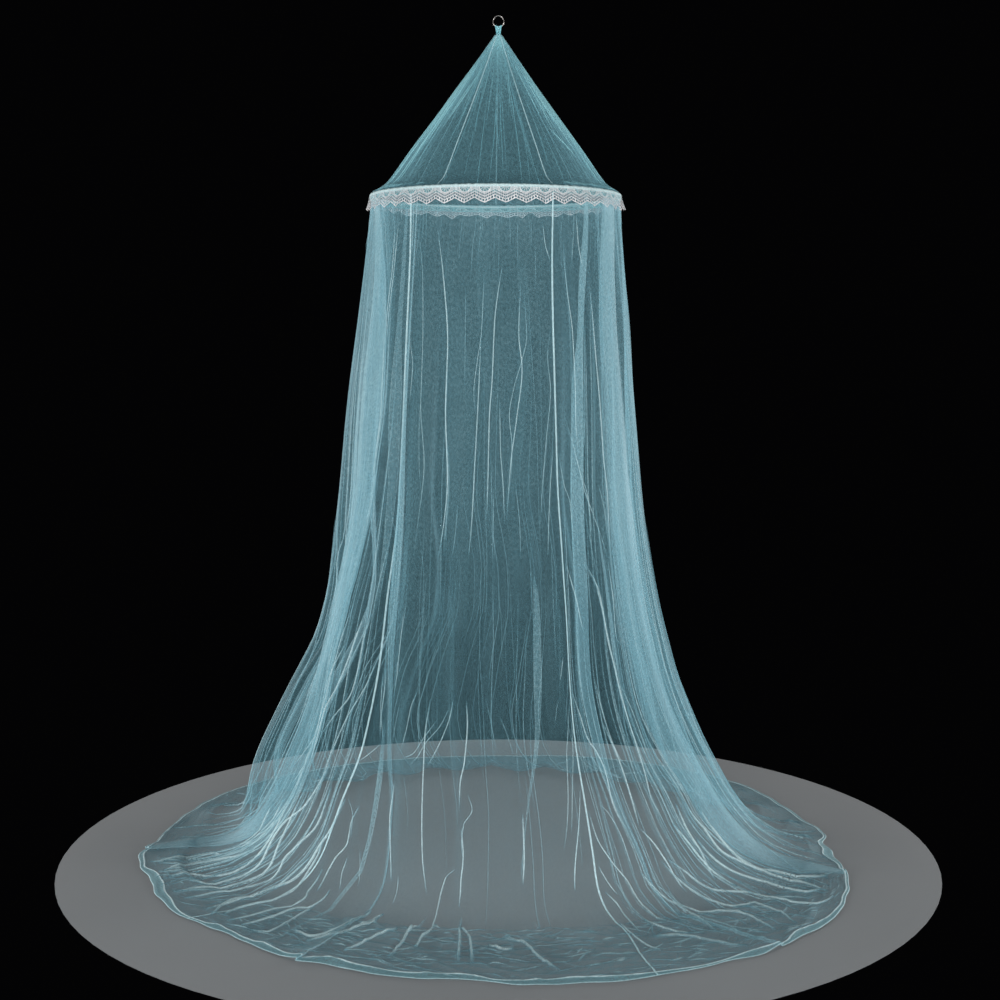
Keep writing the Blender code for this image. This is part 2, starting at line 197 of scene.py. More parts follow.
def grid_piece(name, points, finish, slot, uv=None, ring=False, tube=False, strips=(), **marks):
    """A mesh through a grid of points: rows, columns, three coordinates. Rows run down and columns
    to the right as seen from outside, so that faces point outwards. ring joins the last column to
    the first and tube the last row to the first. uv holds flat places in metres, one column or
    row more where the grid is joined. marks are numbers at each point, kept as attributes. strips
    are more grids in the same mesh: points, flat places and the mark dense, each with one axis
    more at the front for the strip's number."""
    rows, columns = points.shape[:2]
    r = np.arange(rows if tube else rows - 1)
    c = np.arange(columns if ring else columns - 1)
    r, c = (a.ravel() for a in np.meshgrid(r, c, indexing="ij"))
    corner_rows = np.stack([r, r + 1, r + 1, r], axis=1)
    corner_columns = np.stack([c, c, c + 1, c + 1], axis=1)
    corners = (corner_rows % rows) * columns + corner_columns % columns
    places = points.reshape(-1, 3)
    flat_places = None if uv is None else uv[corner_rows, corner_columns].reshape(-1, 2)
    numbers = {key: np.broadcast_to(mark, (rows, columns)).ravel() for key, mark in marks.items()}
    for strip_points, strip_uv, strip_dense in strips:
        shape = strip_points.shape[:3]
        first = np.arange(math.prod(shape)).reshape(shape)[:, :-1, :-1].reshape(-1, 1)
        quads = first + np.array([0, shape[2], shape[2] + 1, 1])
        corners = np.concatenate([corners, len(places) + quads])
        flat_places = np.concatenate([flat_places, strip_uv.reshape(-1, 2)[quads.ravel()]])
        places = np.concatenate([places, strip_points.reshape(-1, 3)])
        numbers["dense"] = np.concatenate([numbers["dense"], strip_dense.ravel()])
    mesh = bpy.data.meshes.new(name)
    mesh.vertices.add(len(places))
    mesh.vertices.foreach_set("co", places.astype(np.float32).ravel())
    mesh.loops.add(corners.size)
    mesh.loops.foreach_set("vertex_index", corners.astype(np.int32).ravel())
    mesh.polygons.add(len(corners))
    mesh.polygons.foreach_set("loop_start", np.arange(0, corners.size, 4, dtype=np.int32))
    if uv is not None:
        layer = mesh.uv_layers.new(name="cloth")
        layer.uv.foreach_set("vector", flat_places.astype(np.float32).ravel())
    for key, values in numbers.items():
        kept = mesh.attributes.new(key, "FLOAT", "POINT")
        kept.data.foreach_set("value", values.astype(np.float32))
    mesh.update(calc_edges=True)
    mesh.validate()
    mesh.shade_smooth()
    mesh.materials.append(finish)
    piece = in_scene(name, mesh)
    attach(piece, "root")
    return piece


def wire_ring(radius, wire, centre, round_steps, section_steps, axis):
    """Torus: a circle of radius wire carried round a circle of the given radius. axis 1 faces it
    to the front and axis 2 lays it flat."""
    turn = np.linspace(0, 2 * math.pi, round_steps, endpoint=False)[None, :]
    section = np.linspace(0, 2 * math.pi, section_steps, endpoint=False)[:, None]
    reach = radius + wire * np.cos(section)
    side = wire * np.sin(section)
    across, along = reach * np.sin(turn), -reach * np.cos(turn)
    parts = (across, side, along) if axis == 1 else (across, along, -side)
    return together(*parts) + np.array(centre)


steel = Finish("darkened_steel")
spot = steel.noise(steel.place(), 900.0, 3.0)
rub = steel.noise(steel.place(), 190.0, 2.0)
ring_steel = steel.surface(
    Base_Color=steel.mix(rub.step(0.42, 0.66), (0.16, 0.15, 0.145), (0.46, 0.44, 0.42)),
    Metallic=1.0,
    Roughness=0.22 + 0.22 * spot,
    Normal=steel.bump(spot, 0.00008),
)
ring = grid_piece(
    "steel_ring",
    wire_ring(RING_RADIUS, RING_WIRE / 2, (0.0, 0.0, RING_CENTRE), 96, 20, 1)[::-1],
    ring_steel,
    "ring_steel",
    tube=True,
    ring=True,
)
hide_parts("hanging_ring")

# ------------------------------------------------------------
# Hanging loop: a doubled strip of turquoise net, bunched on the ring's wire and gathered into
# the point of the roof, where both ends are sewn in.
# ------------------------------------------------------------
HOOK_HEIGHT = 2.042        # the origin's height above the floor
NECK_HEIGHT = 1.998
NECK_RADIUS = 0.0071
LOOP_ARC = 40.0            # half of the wire's turn that the loop lies on
LOOP_CLEARANCE = 0.0008
LOOP_NECK = 0.0042         # half width at the neck
LOOP_TUCK = 0.006          # how far the ends go down into the roof
LOOP_ACROSS = 61
LOOP_DOWN = 30
LOOP_FLAT = (0.02, 0.06)
LOOP_DENSITY = 1.6
BUNCH_DENSITY = 900        # more for each metre that a gather stands out

THREAD = (0.236, 0.535, 0.640)        # turquoise yarn
THREAD_THICK = (0.660, 0.870, 0.910)  # the same where many threads lie together
NET_COVER = 0.135                     # share that one layer of net hides, seen square on
NET_PITCH = 0.0021                    # from one hole to the next
LEAST_SLANT = 0.24                    # cosine below which a layer hides no more


def net_finish(name, cover, plain=THREAD, thick=THREAD_THICK, whiten=0.36):
    """Sheer knitted net. Its threads hide a share of what is behind them: one layer lets
    exp(-k) through, k growing with the mark dense and as the layer is seen more edge on. The
    holes lie in a hexagonal pattern, the sum of three cosine waves."""
    net = Finish(name)
    uv, across, down = net.flat()
    dense = net.mark("dense")
    k = -math.log(1.0 - cover)
    turn = 2 * math.pi / NET_PITCH
    holes = 2.0 * (across * (turn * 0.866)).cos() * (down * (turn * 0.5)).cos()
    holes = (down * turn).cos() + holes
    threads = holes.step(0.9, -1.0, 0.35, 1.75)
    drawn = net.read("ShaderNodeCombineXYZ", None, across, down * 0.45, 0.0)
    cloud = net.noise(drawn, 260.0, 2.0, 0.6).step(0.32, 0.68, 0.66, 1.34)
    cloud = cloud * net.noise(drawn, 18.0, 2.0, 0.5).step(0.30, 0.70, 0.93, 1.07)
    slant = (1.0 - net.read("ShaderNodeLayerWeight", None, 0.5, out="Facing")).most(LEAST_SLANT)
    seen = dense * (threads * cloud) * k / slant
    paleness = (dense * whiten - whiten + (cloud - 1.0) * 0.45).least(1.0).most(0.0)
    return net.surface(
        Base_Color=net.mix(paleness, plain, thick),
        Roughness=0.62,
        Alpha=(1.0 - (-seen).exp()).least(0.97),
        Normal=net.bump(threads, 0.0002, 0.4),
    )


folded_net = net_finish("net_folded", 0.62, (0.30, 0.72, 0.80), (0.55, 0.92, 0.97))

loop_tube = RING_WIRE / 2 + LOOP_CLEARANCE
loop_foot = NECK_HEIGHT - HOOK_HEIGHT - LOOP_TUCK
around = np.radians(np.linspace(LOOP_ARC, -LOOP_ARC, LOOP_ACROSS))[None, :]
over_wire = np.radians(np.linspace(-90, 90, 25))[:, None]
loop_share = np.linspace(1.0, 0.0, LOOP_DOWN)[:-1, None]
loop_column = np.arange(LOOP_ACROSS)[None, :]
bunch = 0.00045 * np.sin(loop_column * 1.9) + 0.0003 * np.sin(loop_column * 0.83)


def loop_strand(share, side):
    """Half of the loop: from the wire to the neck, drawing together as it goes down. Its
    gathers are small waves across it that deepen towards the neck."""
    neck_spread = LOOP_NECK / math.sin(math.radians(LOOP_ARC))
    spread = RING_RADIUS + (neck_spread - RING_RADIUS) * share ** 0.7
    wire_z = RING_CENTRE - RING_RADIUS * np.cos(around)
    z = wire_z + (loop_foot - wire_z) * share
    y = side * (loop_tube * (1 - share * 0.25) + bunch * (1 + 1.6 * share))
    return together(np.sin(around) * spread, y, z)


reach = RING_RADIUS - (loop_tube + bunch) * np.cos(over_wire)
over = together(
    reach * np.sin(around),
    (loop_tube + bunch) * np.sin(over_wire),
    RING_CENTRE - reach * np.cos(around),
)
front_strand, back_strand = loop_strand(loop_share, -1.0), loop_strand(loop_share[::-1], 1.0)
loop_points = np.concatenate([front_strand, over, back_strand])
loop_across = np.linspace(0, LOOP_FLAT[0], LOOP_ACROSS)[None, :]
loop_down = np.linspace(0, LOOP_FLAT[1], len(loop_points))[:, None]
loop = grid_piece(
    "hanging_loop_cloth",
    loop_points,
    folded_net,
    "net_folded",
    uv=together(loop_across, loop_down),
    dense=LOOP_DENSITY + BUNCH_DENSITY * np.abs(bunch),
)
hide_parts("hanging_loop")

# ------------------------------------------------------------
# Roof: seven tapering gores of the same net, sewn edge to edge and gathered into the neck, drawn
# straight from the neck to the hoop. Each seam is overlocked and shows as a thin bright line.
# ------------------------------------------------------------
HOOP_OFFSET = -0.007       # the hoop hangs a little left of the hook
HOOP_RADIUS = 0.300
CASING_TOP = 1.6200
GORE_COUNT = 7
FIRST_SEAM = 25.7          # angle
GORE_COLUMNS = 72
GORE_ROWS = 80
SLOPE_OUT, SLOPE_UP = 0.78, 0.62       # the roof's normal
GATHER_DEPTH = 0.010                   # share of the radius
GATHER_FADE = 0.16                     # share of the way from the neck
PUCKER_DEPTH = 0.0016
PUCKER_FADE = 0.07                     # share of the way up from the hoop
ROOF_DENSITY = 0.78                    # of the net where it lies flat, 1 being a plain layer
ROOF_SIDE_DENSITY, ROOF_SIDE_FADE = 0.9, 0.6
NECK_DENSITIES = ((7.0, 0.09), (1.2, 0.3))  # more at the neck: how much, and how it fades
ROOF_FOLD_HALF, ROOF_FOLD_RISE, ROOF_FOLD_DENSITY = 0.0011, 0.0015, 2.4
ROOF_FOLD_SAMPLES = 16
SEAM_HALF = 0.0014
SEAM_FLAT_HALF = 0.002
SEAM_LIFT, SEAM_CROWN = 0.0007, 0.0008
SEAM_DENSITY_FRONT, SEAM_DENSITY_BACK = 2.4, 1.0
ROOF_LEVELS = (  # radius, height
    (NECK_RADIUS, NECK_HEIGHT),
    (0.066, 1.913),
    (0.132, 1.822),
    (0.203, 1.727),
    (0.270, 1.639),
    (0.2985, CASING_TOP + 0.0010),
)
ROOF_FOLDS = (  # two ends: share of the way from neck to hoop, angle; then extra density
    ((0.16, -32.5), (0.55, -47.2), 1.6), ((0.25, -39.5), (0.51, -47.0), 1.5),
    ((0.12, -33.2), (0.46, -35.0), 1.0), ((0.04, -37.5), (0.34, -29.0), 0.9),
    ((0.08, -71.0), (0.48, -55.8), 1.6), ((0.09, -84.0), (0.48, -76.8), 1.6),
    ((0.18, -57.2), (0.56, -81.8), 1.4), ((0.10, 39.5), (0.52, 41.0), 1.5),
    ((0.20, 51.0), (0.55, 62.0), 1.6), ((0.09, 78.0), (0.66, 67.8), 1.7),
    ((0.07, 80.0), (0.40, 41.5), 1.3), ((0.07, 83.0), (0.49, 45.8), 1.4),
    ((0.11, 83.0), (0.50, 60.2), 1.4), ((0.51, 42.5), (0.68, 57.8), 1.6),
    ((0.07, 24.0), (0.48, 9.5), 0.8), ((0.21, 15.5), (0.48, 15.5), 0.7),
)
# seeded folds: how many, angles, starts, lengths, slants, extra density
ROOF_FINE_FOLDS = (
    (46, (48, 112), (0.02, 0.25), (0.25, 0.85), (-7, 7), (0.7, 1.6)),
    (46, (-112, -48), (0.02, 0.25), (0.25, 0.85), (-7, 7), (0.7, 1.6)),
    (18, (-44, 40), (0.02, 0.15), (0.15, 0.45), (-5, 5), (0.4, 0.9)),
    (40, (112, 248), (0.02, 0.30), (0.20, 0.75), (-7, 7), (0.5, 1.4)),
    (34, (34, 76), (0.84, 0.93), (0.05, 0.10), (3, 9), (0.4, 1.0)),
    (34, (-76, -34), (0.84, 0.93), (0.05, 0.10), (-9, -3), (0.4, 1.0)),
    (40, (90, 270), (0.85, 0.94), (0.04, 0.08), (-5, 5), (0.3, 0.9)),
)
FOLD_DENSITY = 2.9
THIN = np.array([-1.0, 0.0, 1.0])
THIN_MARKS = np.array([0.0, 1.0, 0.0])


def smooth_read(x, xs, ys):
    """A curve through the points (xs, ys) that never overshoots them: cubic pieces whose slope
    at a point is the harmonic mean of the chords on its two sides."""
    xs, ys = np.asarray(xs, float), np.asarray(ys, float)
    steps = np.diff(xs)
    chords = np.diff(ys) / steps
    before, after = chords[:-1], chords[1:]
    same_way = before * after > 0
    total = np.where(same_way, before + after, 1.0)
    inner = np.where(same_way, 2.0 * before * after / total, 0.0)
    slopes = np.concatenate([chords[:1], inner, chords[-1:]])
    x = np.clip(x, xs[0], xs[-1])
    i = np.clip(np.searchsorted(xs, x, side="right") - 1, 0, len(xs) - 2)
    u = (x - xs[i]) / steps[i]
    rise = (3.0 - 2.0 * u) * u * u
    value = ys[i] * (1.0 - rise) + ys[i + 1] * rise
    return value + steps[i] * (slopes[i] * u * (1.0 - u) ** 2 + slopes[i + 1] * u * u * (u - 1.0))


def at_point(angle, radius, height):
    """World position for an angle, a radius from the hoop's axis and a height above the floor."""
    turn = np.radians(angle)
    x = HOOP_OFFSET + radius * np.sin(turn)
    y = -radius * np.cos(turn)
    return together(x, y, height - HOOK_HEIGHT)


def apart(angle, other):
    """Difference of two angles, from -180 to 180."""
    return np.mod(angle - other + 180.0, 360.0) - 180.0


def roof_read(share, column):
    """The cone's radius or height at a share of the way from neck to hoop."""
    return smooth_read(share, np.linspace(0, 1, len(ROOF_LEVELS)), np.array(ROOF_LEVELS)[:, column])


def roof_cloth(angle, share, lift=0.0):
    """The cone at an angle and a share of the way from neck to hoop, with its gathers: waves that
    fade out from the neck, and short ones that fade up from the hoop."""
    heights = np.array(ROOF_LEVELS)[:, 1]
    radius, height = roof_read(share, 0), roof_read(share, 1)
    turn = np.radians(angle)
    neck = np.exp(-share / GATHER_FADE)
    gathers = np.sin(23 * turn + 1.0) + 0.7 * np.sin(41 * turn + 2.2) + 0.5 * np.sin(67 * turn)
    short = np.maximum(0, np.sin(88 * turn + 1.5 * np.sin(7 * turn))) ** 2
    lift = lift + GATHER_DEPTH * radius * gathers * (0.12 + neck)
    lift = lift + PUCKER_DEPTH * short * np.exp(-(1.0 - share) / PUCKER_FADE)
    lift = np.minimum(lift, 0.2 * radius)
    base = at_point(angle, radius + SLOPE_OUT * lift, height + SLOPE_UP * lift)
    base[..., 0] -= HOOP_OFFSET * (height - heights[-1]) / (heights[0] - heights[-1])
    return base


def ends_fade(share, reach=0.25):
    """0 at both ends of a line, rising to 1 over a share of its length."""
    return np.clip(np.minimum(share, 1.0 - share) / reach, 0.0, 1.0) ** 0.7


def pinched_folds(
    cloth, metres, down, angle, radius, half, rise, shown, across=THIN, marks=THIN_MARKS, last=1.0
):
    """Narrow folds pinched up from a cloth, each a strip of doubled net that follows its course:
    lines by samples. cloth gives a point for an angle, a place down it and a lift; metres is the
    length of a whole step down. Points across a strip are spread square to its course and raised
    as a parabola by rise, and take their density from marks times shown."""
    sideways = np.gradient(np.radians(angle), axis=1) * radius
    downward = np.gradient(down, axis=1) * metres
    step = np.hypot(sideways, downward) + 1e-9
    place = half[..., None] * across
    strip_angle = angle[..., None] + np.degrees((downward / step / radius)[..., None] * place)
    strip_down = np.clip(down[..., None] - (sideways / step / metres)[..., None] * place, 0.0, last)
    points = cloth(strip_angle, strip_down, 0.0005 + rise[..., None] * (1.0 - across ** 2))
    start = 0.37 * np.arange(len(down))[:, None, None]
    run = np.cumsum(step, axis=1)[..., None]
    return points, together(start + place, start + run), marks * shown[..., None]


def roof_folds():
    """The folds with ends of their own and the seeded ones: share, angle, extra density."""
    way = np.linspace(0.0, 1.0, ROOF_FOLD_SAMPLES)[None, :]
    first, last, extra = (np.array(column) for column in zip(*ROOF_FOLDS))
    shares = [first[:, :1] + (last - first)[:, :1] * way]
    angles = [first[:, 1:] + (last - first)[:, 1:] * way]
    extras = [extra[:, None] * ends_fade(way, 0.35)]
    draw = np.random.default_rng(61)
    for count, *ranges in ROOF_FINE_FOLDS:
        low, high = np.array(ranges).T
        angle, start, reach, slant, extra = draw.uniform(low, high, (count, 5)).T[..., None]
        shares.append(np.minimum(start + reach * way, 0.995))
        angles.append(angle + slant * (way - 0.5) + draw.normal(0, 0.5, (count, 1)) * np.sin(4 * way))
        extras.append(extra * ends_fade(way, 0.35))
    return np.concatenate(shares), np.concatenate(angles), np.concatenate(extras)


net = net_finish("net", NET_COVER)
roof_net = net_finish("net_roof", NET_COVER, (0.25, 0.56, 0.66), (0.42, 0.86, 0.94), 0.20)
bound_net = net_finish("net_bound", 0.32, (0.50, 0.84, 0.92), (0.74, 0.95, 0.99), 0.28)
gore_width = 360.0 / GORE_COUNT
share = np.linspace(0.0, 1.0, GORE_ROWS)[:, None]
slope_length = math.hypot(HOOP_RADIUS - NECK_RADIUS, NECK_HEIGHT - CASING_TOP)
hoop_length = 2 * math.pi * HOOP_RADIUS
hoop_width = hoop_length / GORE_COUNT
fold_share, fold_angle, fold_extra = roof_folds()


def roof_gore(k):
    """Gore k, a tapering panel from one seam to the next, with the pinched folds that lie on it.
    The net is denser at the neck and at the cone's sides."""
    across = np.linspace(0.0, 1.0, GORE_COLUMNS)[None, :]
    angle = FIRST_SEAM + (k + across) * gore_width + 0 * share
    uv = together((across - 0.5) * hoop_width * share, share * slope_length)
    fold_middle = fold_angle[:, ROOF_FOLD_SAMPLES // 2]
    mine = np.floor((fold_middle - FIRST_SEAM) / gore_width) % GORE_COUNT == k
    folds = pinched_folds(
        roof_cloth,
        slope_length,
        fold_share[mine],
        fold_angle[mine],
        roof_read(fold_share[mine], 0),
        ROOF_FOLD_HALF + 0 * fold_share[mine],
        ROOF_FOLD_RISE * fold_extra[mine],
        ROOF_FOLD_DENSITY * FOLD_DENSITY * fold_extra[mine],
    )
    beside = np.abs(np.sin(np.radians(angle))) ** 6 * np.exp(-share / ROOF_SIDE_FADE)
    dense = ROOF_DENSITY + ROOF_SIDE_DENSITY * beside
    for extra, fade in NECK_DENSITIES:
        dense = dense + extra * np.exp(-share / fade)
    points = roof_cloth(angle, share)
    name = f"roof_gore_net_{k + 1}"
    return grid_piece(name, points, roof_net, "net", uv=uv, strips=[folds], dense=dense)


def roof_seam(k):
    """The overlocked seam at the start of gore k: a narrow strip that stands off the cone, higher
    in its middle."""
    across = np.linspace(-1.0, 1.0, 7)[None, :]
    middle = FIRST_SEAM + k * gore_width
    angle = middle + np.degrees(across * SEAM_HALF / roof_read(share, 0))
    crown = SEAM_LIFT + SEAM_CROWN * (1 - across ** 2)
    away = at_point(angle, 1.0, HOOK_HEIGHT) - at_point(angle, 0.0, HOOK_HEIGHT)
    points = roof_cloth(angle, share + 0 * angle)
    points = points + crown[..., None] * (SLOPE_OUT * away + np.array([0.0, 0.0, SLOPE_UP]))
    uv = together(across * SEAM_FLAT_HALF, share * slope_length)
    in_front = math.cos(math.radians(middle)) > 0.5
    dense = SEAM_DENSITY_FRONT if in_front else SEAM_DENSITY_BACK
    return grid_piece(f"roof_seam_{k + 1}", points, bound_net, "net_folded", uv=uv, dense=dense)


for k in range(GORE_COUNT):
    gore, seam = roof_gore(k), roof_seam(k)
    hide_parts(f"roof_gore_{k + 1}")

# ------------------------------------------------------------
# Hoop: a springy coated rod bent into a ring, which holds the canopy open.
# ------------------------------------------------------------
HOOP_ROD = 0.005
CASING_CLOTH = 0.0012
ROD_CLEARANCE = 0.0005
hoop_height = CASING_TOP - CASING_CLOTH - ROD_CLEARANCE - HOOP_ROD / 2 - HOOK_HEIGHT

rod = Finish("hoop_rod_coating")
rod_mottle = rod.noise(rod.place(), 60.0, 3.0)
rod_finish = rod.surface(
    Base_Color=rod.mix(rod_mottle, (0.66, 0.70, 0.70), (0.80, 0.83, 0.83)),
    Roughness=0.32 + 0.12 * rod_mottle,
    Normal=rod.bump(rod.noise(rod.place(), 400.0, 2.0), 0.0001),
)
hoop = grid_piece(
    "hoop_rod",
    wire_ring(HOOP_RADIUS, HOOP_ROD / 2, (HOOP_OFFSET, 0.0, hoop_height), 240, 16, 2),
    rod_finish,
    "hoop_rod",
    tube=True,
    ring=True,
)
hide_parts("hoop")

# ------------------------------------------------------------
# Hoop casing: a strip of net folded over the hoop, its two lower edges sewn to the wall. The
# rod stretches it, so that it puckers between its stitches.
# ------------------------------------------------------------
CASING_DEPTH = 0.018
CASING_STEPS = 504
CASING_EDGE = 0.0006                   # half of the gap between its two lower edges
STITCH_WIDTH = 0.002
CASING_DENSITY, PUCKER_DENSITY, STITCH_DENSITY = 0.6, 0.35, 0.8
OVER_ROD_DENSITY, INSIDE_ROD_DENSITY = 3.2, 0.5
PUCKER_OUT, PUCKER_DOWN = 0.0006, 0.0004
outer = HOOP_ROD / 2 + ROD_CLEARANCE + CASING_CLOTH
rod_depth = CASING_CLOTH + ROD_CLEARANCE + HOOP_ROD / 2
casing_outline = np.array(
    [(CASING_EDGE, CASING_DEPTH)]
    + [(outer * 0.55, CASING_DEPTH * 0.78), (outer * 0.92, CASING_DEPTH * 0.55)]
    + [(outer * math.cos(t), rod_depth - outer * math.sin(t)) for t in np.linspace(0, math.pi, 11)]
    + [(-outer * 0.92, CASING_DEPTH * 0.55), (-outer * 0.55, CASING_DEPTH * 0.78)]
    + [(-CASING_EDGE, CASING_DEPTH)]
)[::-1]
casing_turn = np.arange(CASING_STEPS) * 360.0 / CASING_STEPS


def ripple(angle, waves, low, high, seed):
    """A sum of sine waves round the canopy, of whole numbers from low to high and random phase."""
    draw = np.random.default_rng(seed)
    numbers = draw.integers(low, high + 1, waves)
    phases = draw.uniform(0, 2 * math.pi, waves)
    turn = np.radians(angle)[..., None]
    return np.sin(numbers * turn + phases).sum(axis=-1) / math.sqrt(waves)


pucker = ripple(casing_turn, 8, 60, 140, 3)[None, :]
side_of_rod = casing_outline[:, :1]
depth_down = casing_outline[:, 1:]
loose = np.clip((depth_down - rod_depth) / CASING_DEPTH, 0, 1) * 4
loose = loose * np.clip(1.05 - depth_down / CASING_DEPTH, 0, 1)
casing_points = at_point(
    casing_turn[None, :],
    HOOP_RADIUS + side_of_rod + PUCKER_OUT * pucker * loose,
    CASING_TOP - depth_down + PUCKER_DOWN * pucker,
)
casing_length = np.concatenate([[0], np.cumsum(np.hypot(*np.diff(casing_outline, axis=0).T))])
casing_uv = together(np.linspace(0, hoop_length, CASING_STEPS + 1)[None, :], casing_length[:, None])
casing_net = net_finish("net_casing", 0.20, (0.22, 0.66, 0.73), (0.74, 0.95, 0.97))
stitched = np.exp(-(((CASING_DEPTH - depth_down) / STITCH_WIDTH) ** 2))
over_rod = (side_of_rod > 0.001) * (depth_down < 0.007)
inside_rod = (side_of_rod < 0) * (depth_down < 0.008)
casing_dense = CASING_DENSITY + PUCKER_DENSITY * np.maximum(0, pucker) + STITCH_DENSITY * stitched
casing_dense = casing_dense + OVER_ROD_DENSITY * over_rod + INSIDE_ROD_DENSITY * inside_rod
casing = grid_piece(
    "casing_net",
    casing_points[::-1],
    casing_net,
    "net_folded",
    uv=casing_uv[::-1],
    ring=True,
    dense=casing_dense[::-1],
)
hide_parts("hoop_casing")

# ------------------------------------------------------------
# Lace trim: white machine-made edging, sewn on outside the casing's upper edge. A dense heading
# carries fans of openwork over two fine zigzag lines, and two zigzag cords with a ladder of small
# holes between them close it below.
# ------------------------------------------------------------
LACE_REPEATS = 42
LACE_PITCH = 0.0449        # across one repeat
LACE_DROP = 0.0070
LACE_TIP = 0.0370          # depth of the points
LACE_NOTCH = 0.0114        # how far the notches go up between them
LACE_FLARE = 0.0070
LACE_ROWS = 26
LACE_IN_REPEAT = 22
LACE_CORDS = (0.0014, 0.0082)          # the two cords' places above the lower edge
LACE_LINES = (0.0146, 0.0205)          # the two fine lines'
LADDER_BARS, RUNG_BARS = 7.0, 11.0     # bars across in one repeat, below and above
FAN_RADIUS = 0.0126
FAN_SPOKES = 5                         # in half a turn
LACE_HOLES = 17                        # across one repeat
LACE_HOLE_DEPTH = 0.0026
lace_start = HOOP_RADIUS + outer + 0.0010

lace = Finish("white_lace")
lace_uv, along, deep = lace.flat()


def lace_thread(gap, width):
    """1 on a thread's middle line and 0 beyond its half width."""
    return abs(gap).step(width, width * 0.5)


def lace_bars(count, width):
    """Threads that stand across the lace, this many in each repeat."""
    return lace_thread(((along * count).fract() - 0.5) * (LACE_PITCH / count), width)


one = along.fract() - 0.5
notch_side = abs(one) * 2.0                              # 0 at a point, 1 at a notch
up = LACE_TIP - LACE_NOTCH * notch_side - deep           # metres above the lower edge
cords = lace_thread(up - LACE_CORDS[0], 0.0016).most(lace_thread(up - LACE_CORDS[1], 0.0013))
arcs = lace_thread(up - LACE_LINES[0], 0.0013) * 0.85
arcs = arcs.most(lace_thread(up - LACE_LINES[1], 0.0011) * 0.75)
ladder = lace_bars(LADDER_BARS, 0.0012) * up.step(LACE_CORDS[1], 0.0074)
rungs = lace_bars(RUNG_BARS, 0.0010) * up.step(0.0076, 0.0084) * up.step(0.0207, 0.0203) * 0.55
fan_x, fan_y = one * LACE_PITCH, deep + 0.0005
fan_r = (fan_x * fan_x + fan_y * fan_y) ** 0.5
fan_ring = lace_thread(fan_r - FAN_RADIUS, 0.0012) * 0.85
spokes = lace.read("ShaderNodeMath", {"operation": "ARCTAN2"}, fan_x, fan_y) * (FAN_SPOKES / math.pi)
spoke = lace_thread((spokes.fract() - 0.5) * (math.pi / FAN_SPOKES) * fan_r, 0.0010)
spoke = spoke * fan_r.step(0.0025, 0.0035) * 0.60
holes = (along * (2 * math.pi * LACE_HOLES)).cos() * (deep * (2 * math.pi / LACE_HOLE_DEPTH)).cos()
pillar = fan_r.step(0.0124, 0.0140) * holes.step(-0.3, 0.3, 0.12, 0.9)
ground_mesh = holes.step(0.0, 0.6, 0.03, 0.20)
above_cords = up.step(0.0196, 0.0206)
heading = deep.step(0.0020, 0.0010) * 0.6
solid = cords.most(arcs).most(ladder).most(rungs).most(ground_mesh * up.step(0.0074, 0.0082, 0.2, 1.0))
solid = solid.most(above_cords * fan_ring.most(spoke).most(pillar)).most(heading)
lace_grain = lace.noise(lace_uv, 40.0, 3.0)
worn = lace.noise(lace_uv, 9.0, 2.0).step(0.35, 0.65, 0.66, 1.0)
white_lace = lace.surface(
    Base_Color=lace.mix(lace_grain, (0.84, 0.82, 0.84), (0.96, 0.94, 0.95)),
    Roughness=0.7,
    Alpha=(solid * worn * up.step(-0.0004, 0.0002)).least(0.97),
    Normal=lace.bump(cords + 0.6 * spoke + 0.6 * fan_ring + 0.3 * lace_grain, 0.0006, 0.8),
)

lace_columns = LACE_REPEATS * LACE_IN_REPEAT
lace_column = np.arange(lace_columns + 1)
lace_turn = lace_column * 360.0 / lace_columns
in_repeat = np.abs(np.mod(lace_column / LACE_IN_REPEAT, 1.0) - 0.5) * 2
lace_edge = LACE_TIP + 0.0006 - LACE_NOTCH * in_repeat
lace_share = np.linspace(0, 1, LACE_ROWS)[:, None]
lace_depth = lace_share * lace_edge[None, :]
wave = ripple(lace_turn, 6, 12, 45, 5)[None, :]
frill = ripple(lace_turn, 6, 30, 90, 6)[None, :]
at_back = smooth_read(np.abs(apart(lace_turn, 0.0)), (0, 66, 116, 180), (0.0, 0.0, 1.0, 1.0))
at_back = at_back[None, :]
drop = lace_depth * (1.0 - at_back * (0.34 + 0.10 * ripple(lace_turn, 5, 9, 26, 8)[None, :]))
flare = (lace_depth / LACE_TIP) ** 1.3
loose = 1.0 + 0.8 * np.sin(np.radians(lace_turn))[None, :] ** 4 + 1.4 * at_back
lace_radius = lace_start + LACE_FLARE * flare + (0.0014 * wave + 0.0009 * frill) * flare * loose
lace_height = CASING_TOP - LACE_DROP - drop + 0.0006 * frill * flare * loose
lace_points = at_point(lace_turn[None, :], lace_radius, lace_height)
lace_flat = together(lace_column[None, :] / LACE_IN_REPEAT, lace_depth)
trim = grid_piece("lace_edging", lace_points[:, :-1], white_lace, "lace", uv=lace_flat, ring=True)
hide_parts("lace_trim")

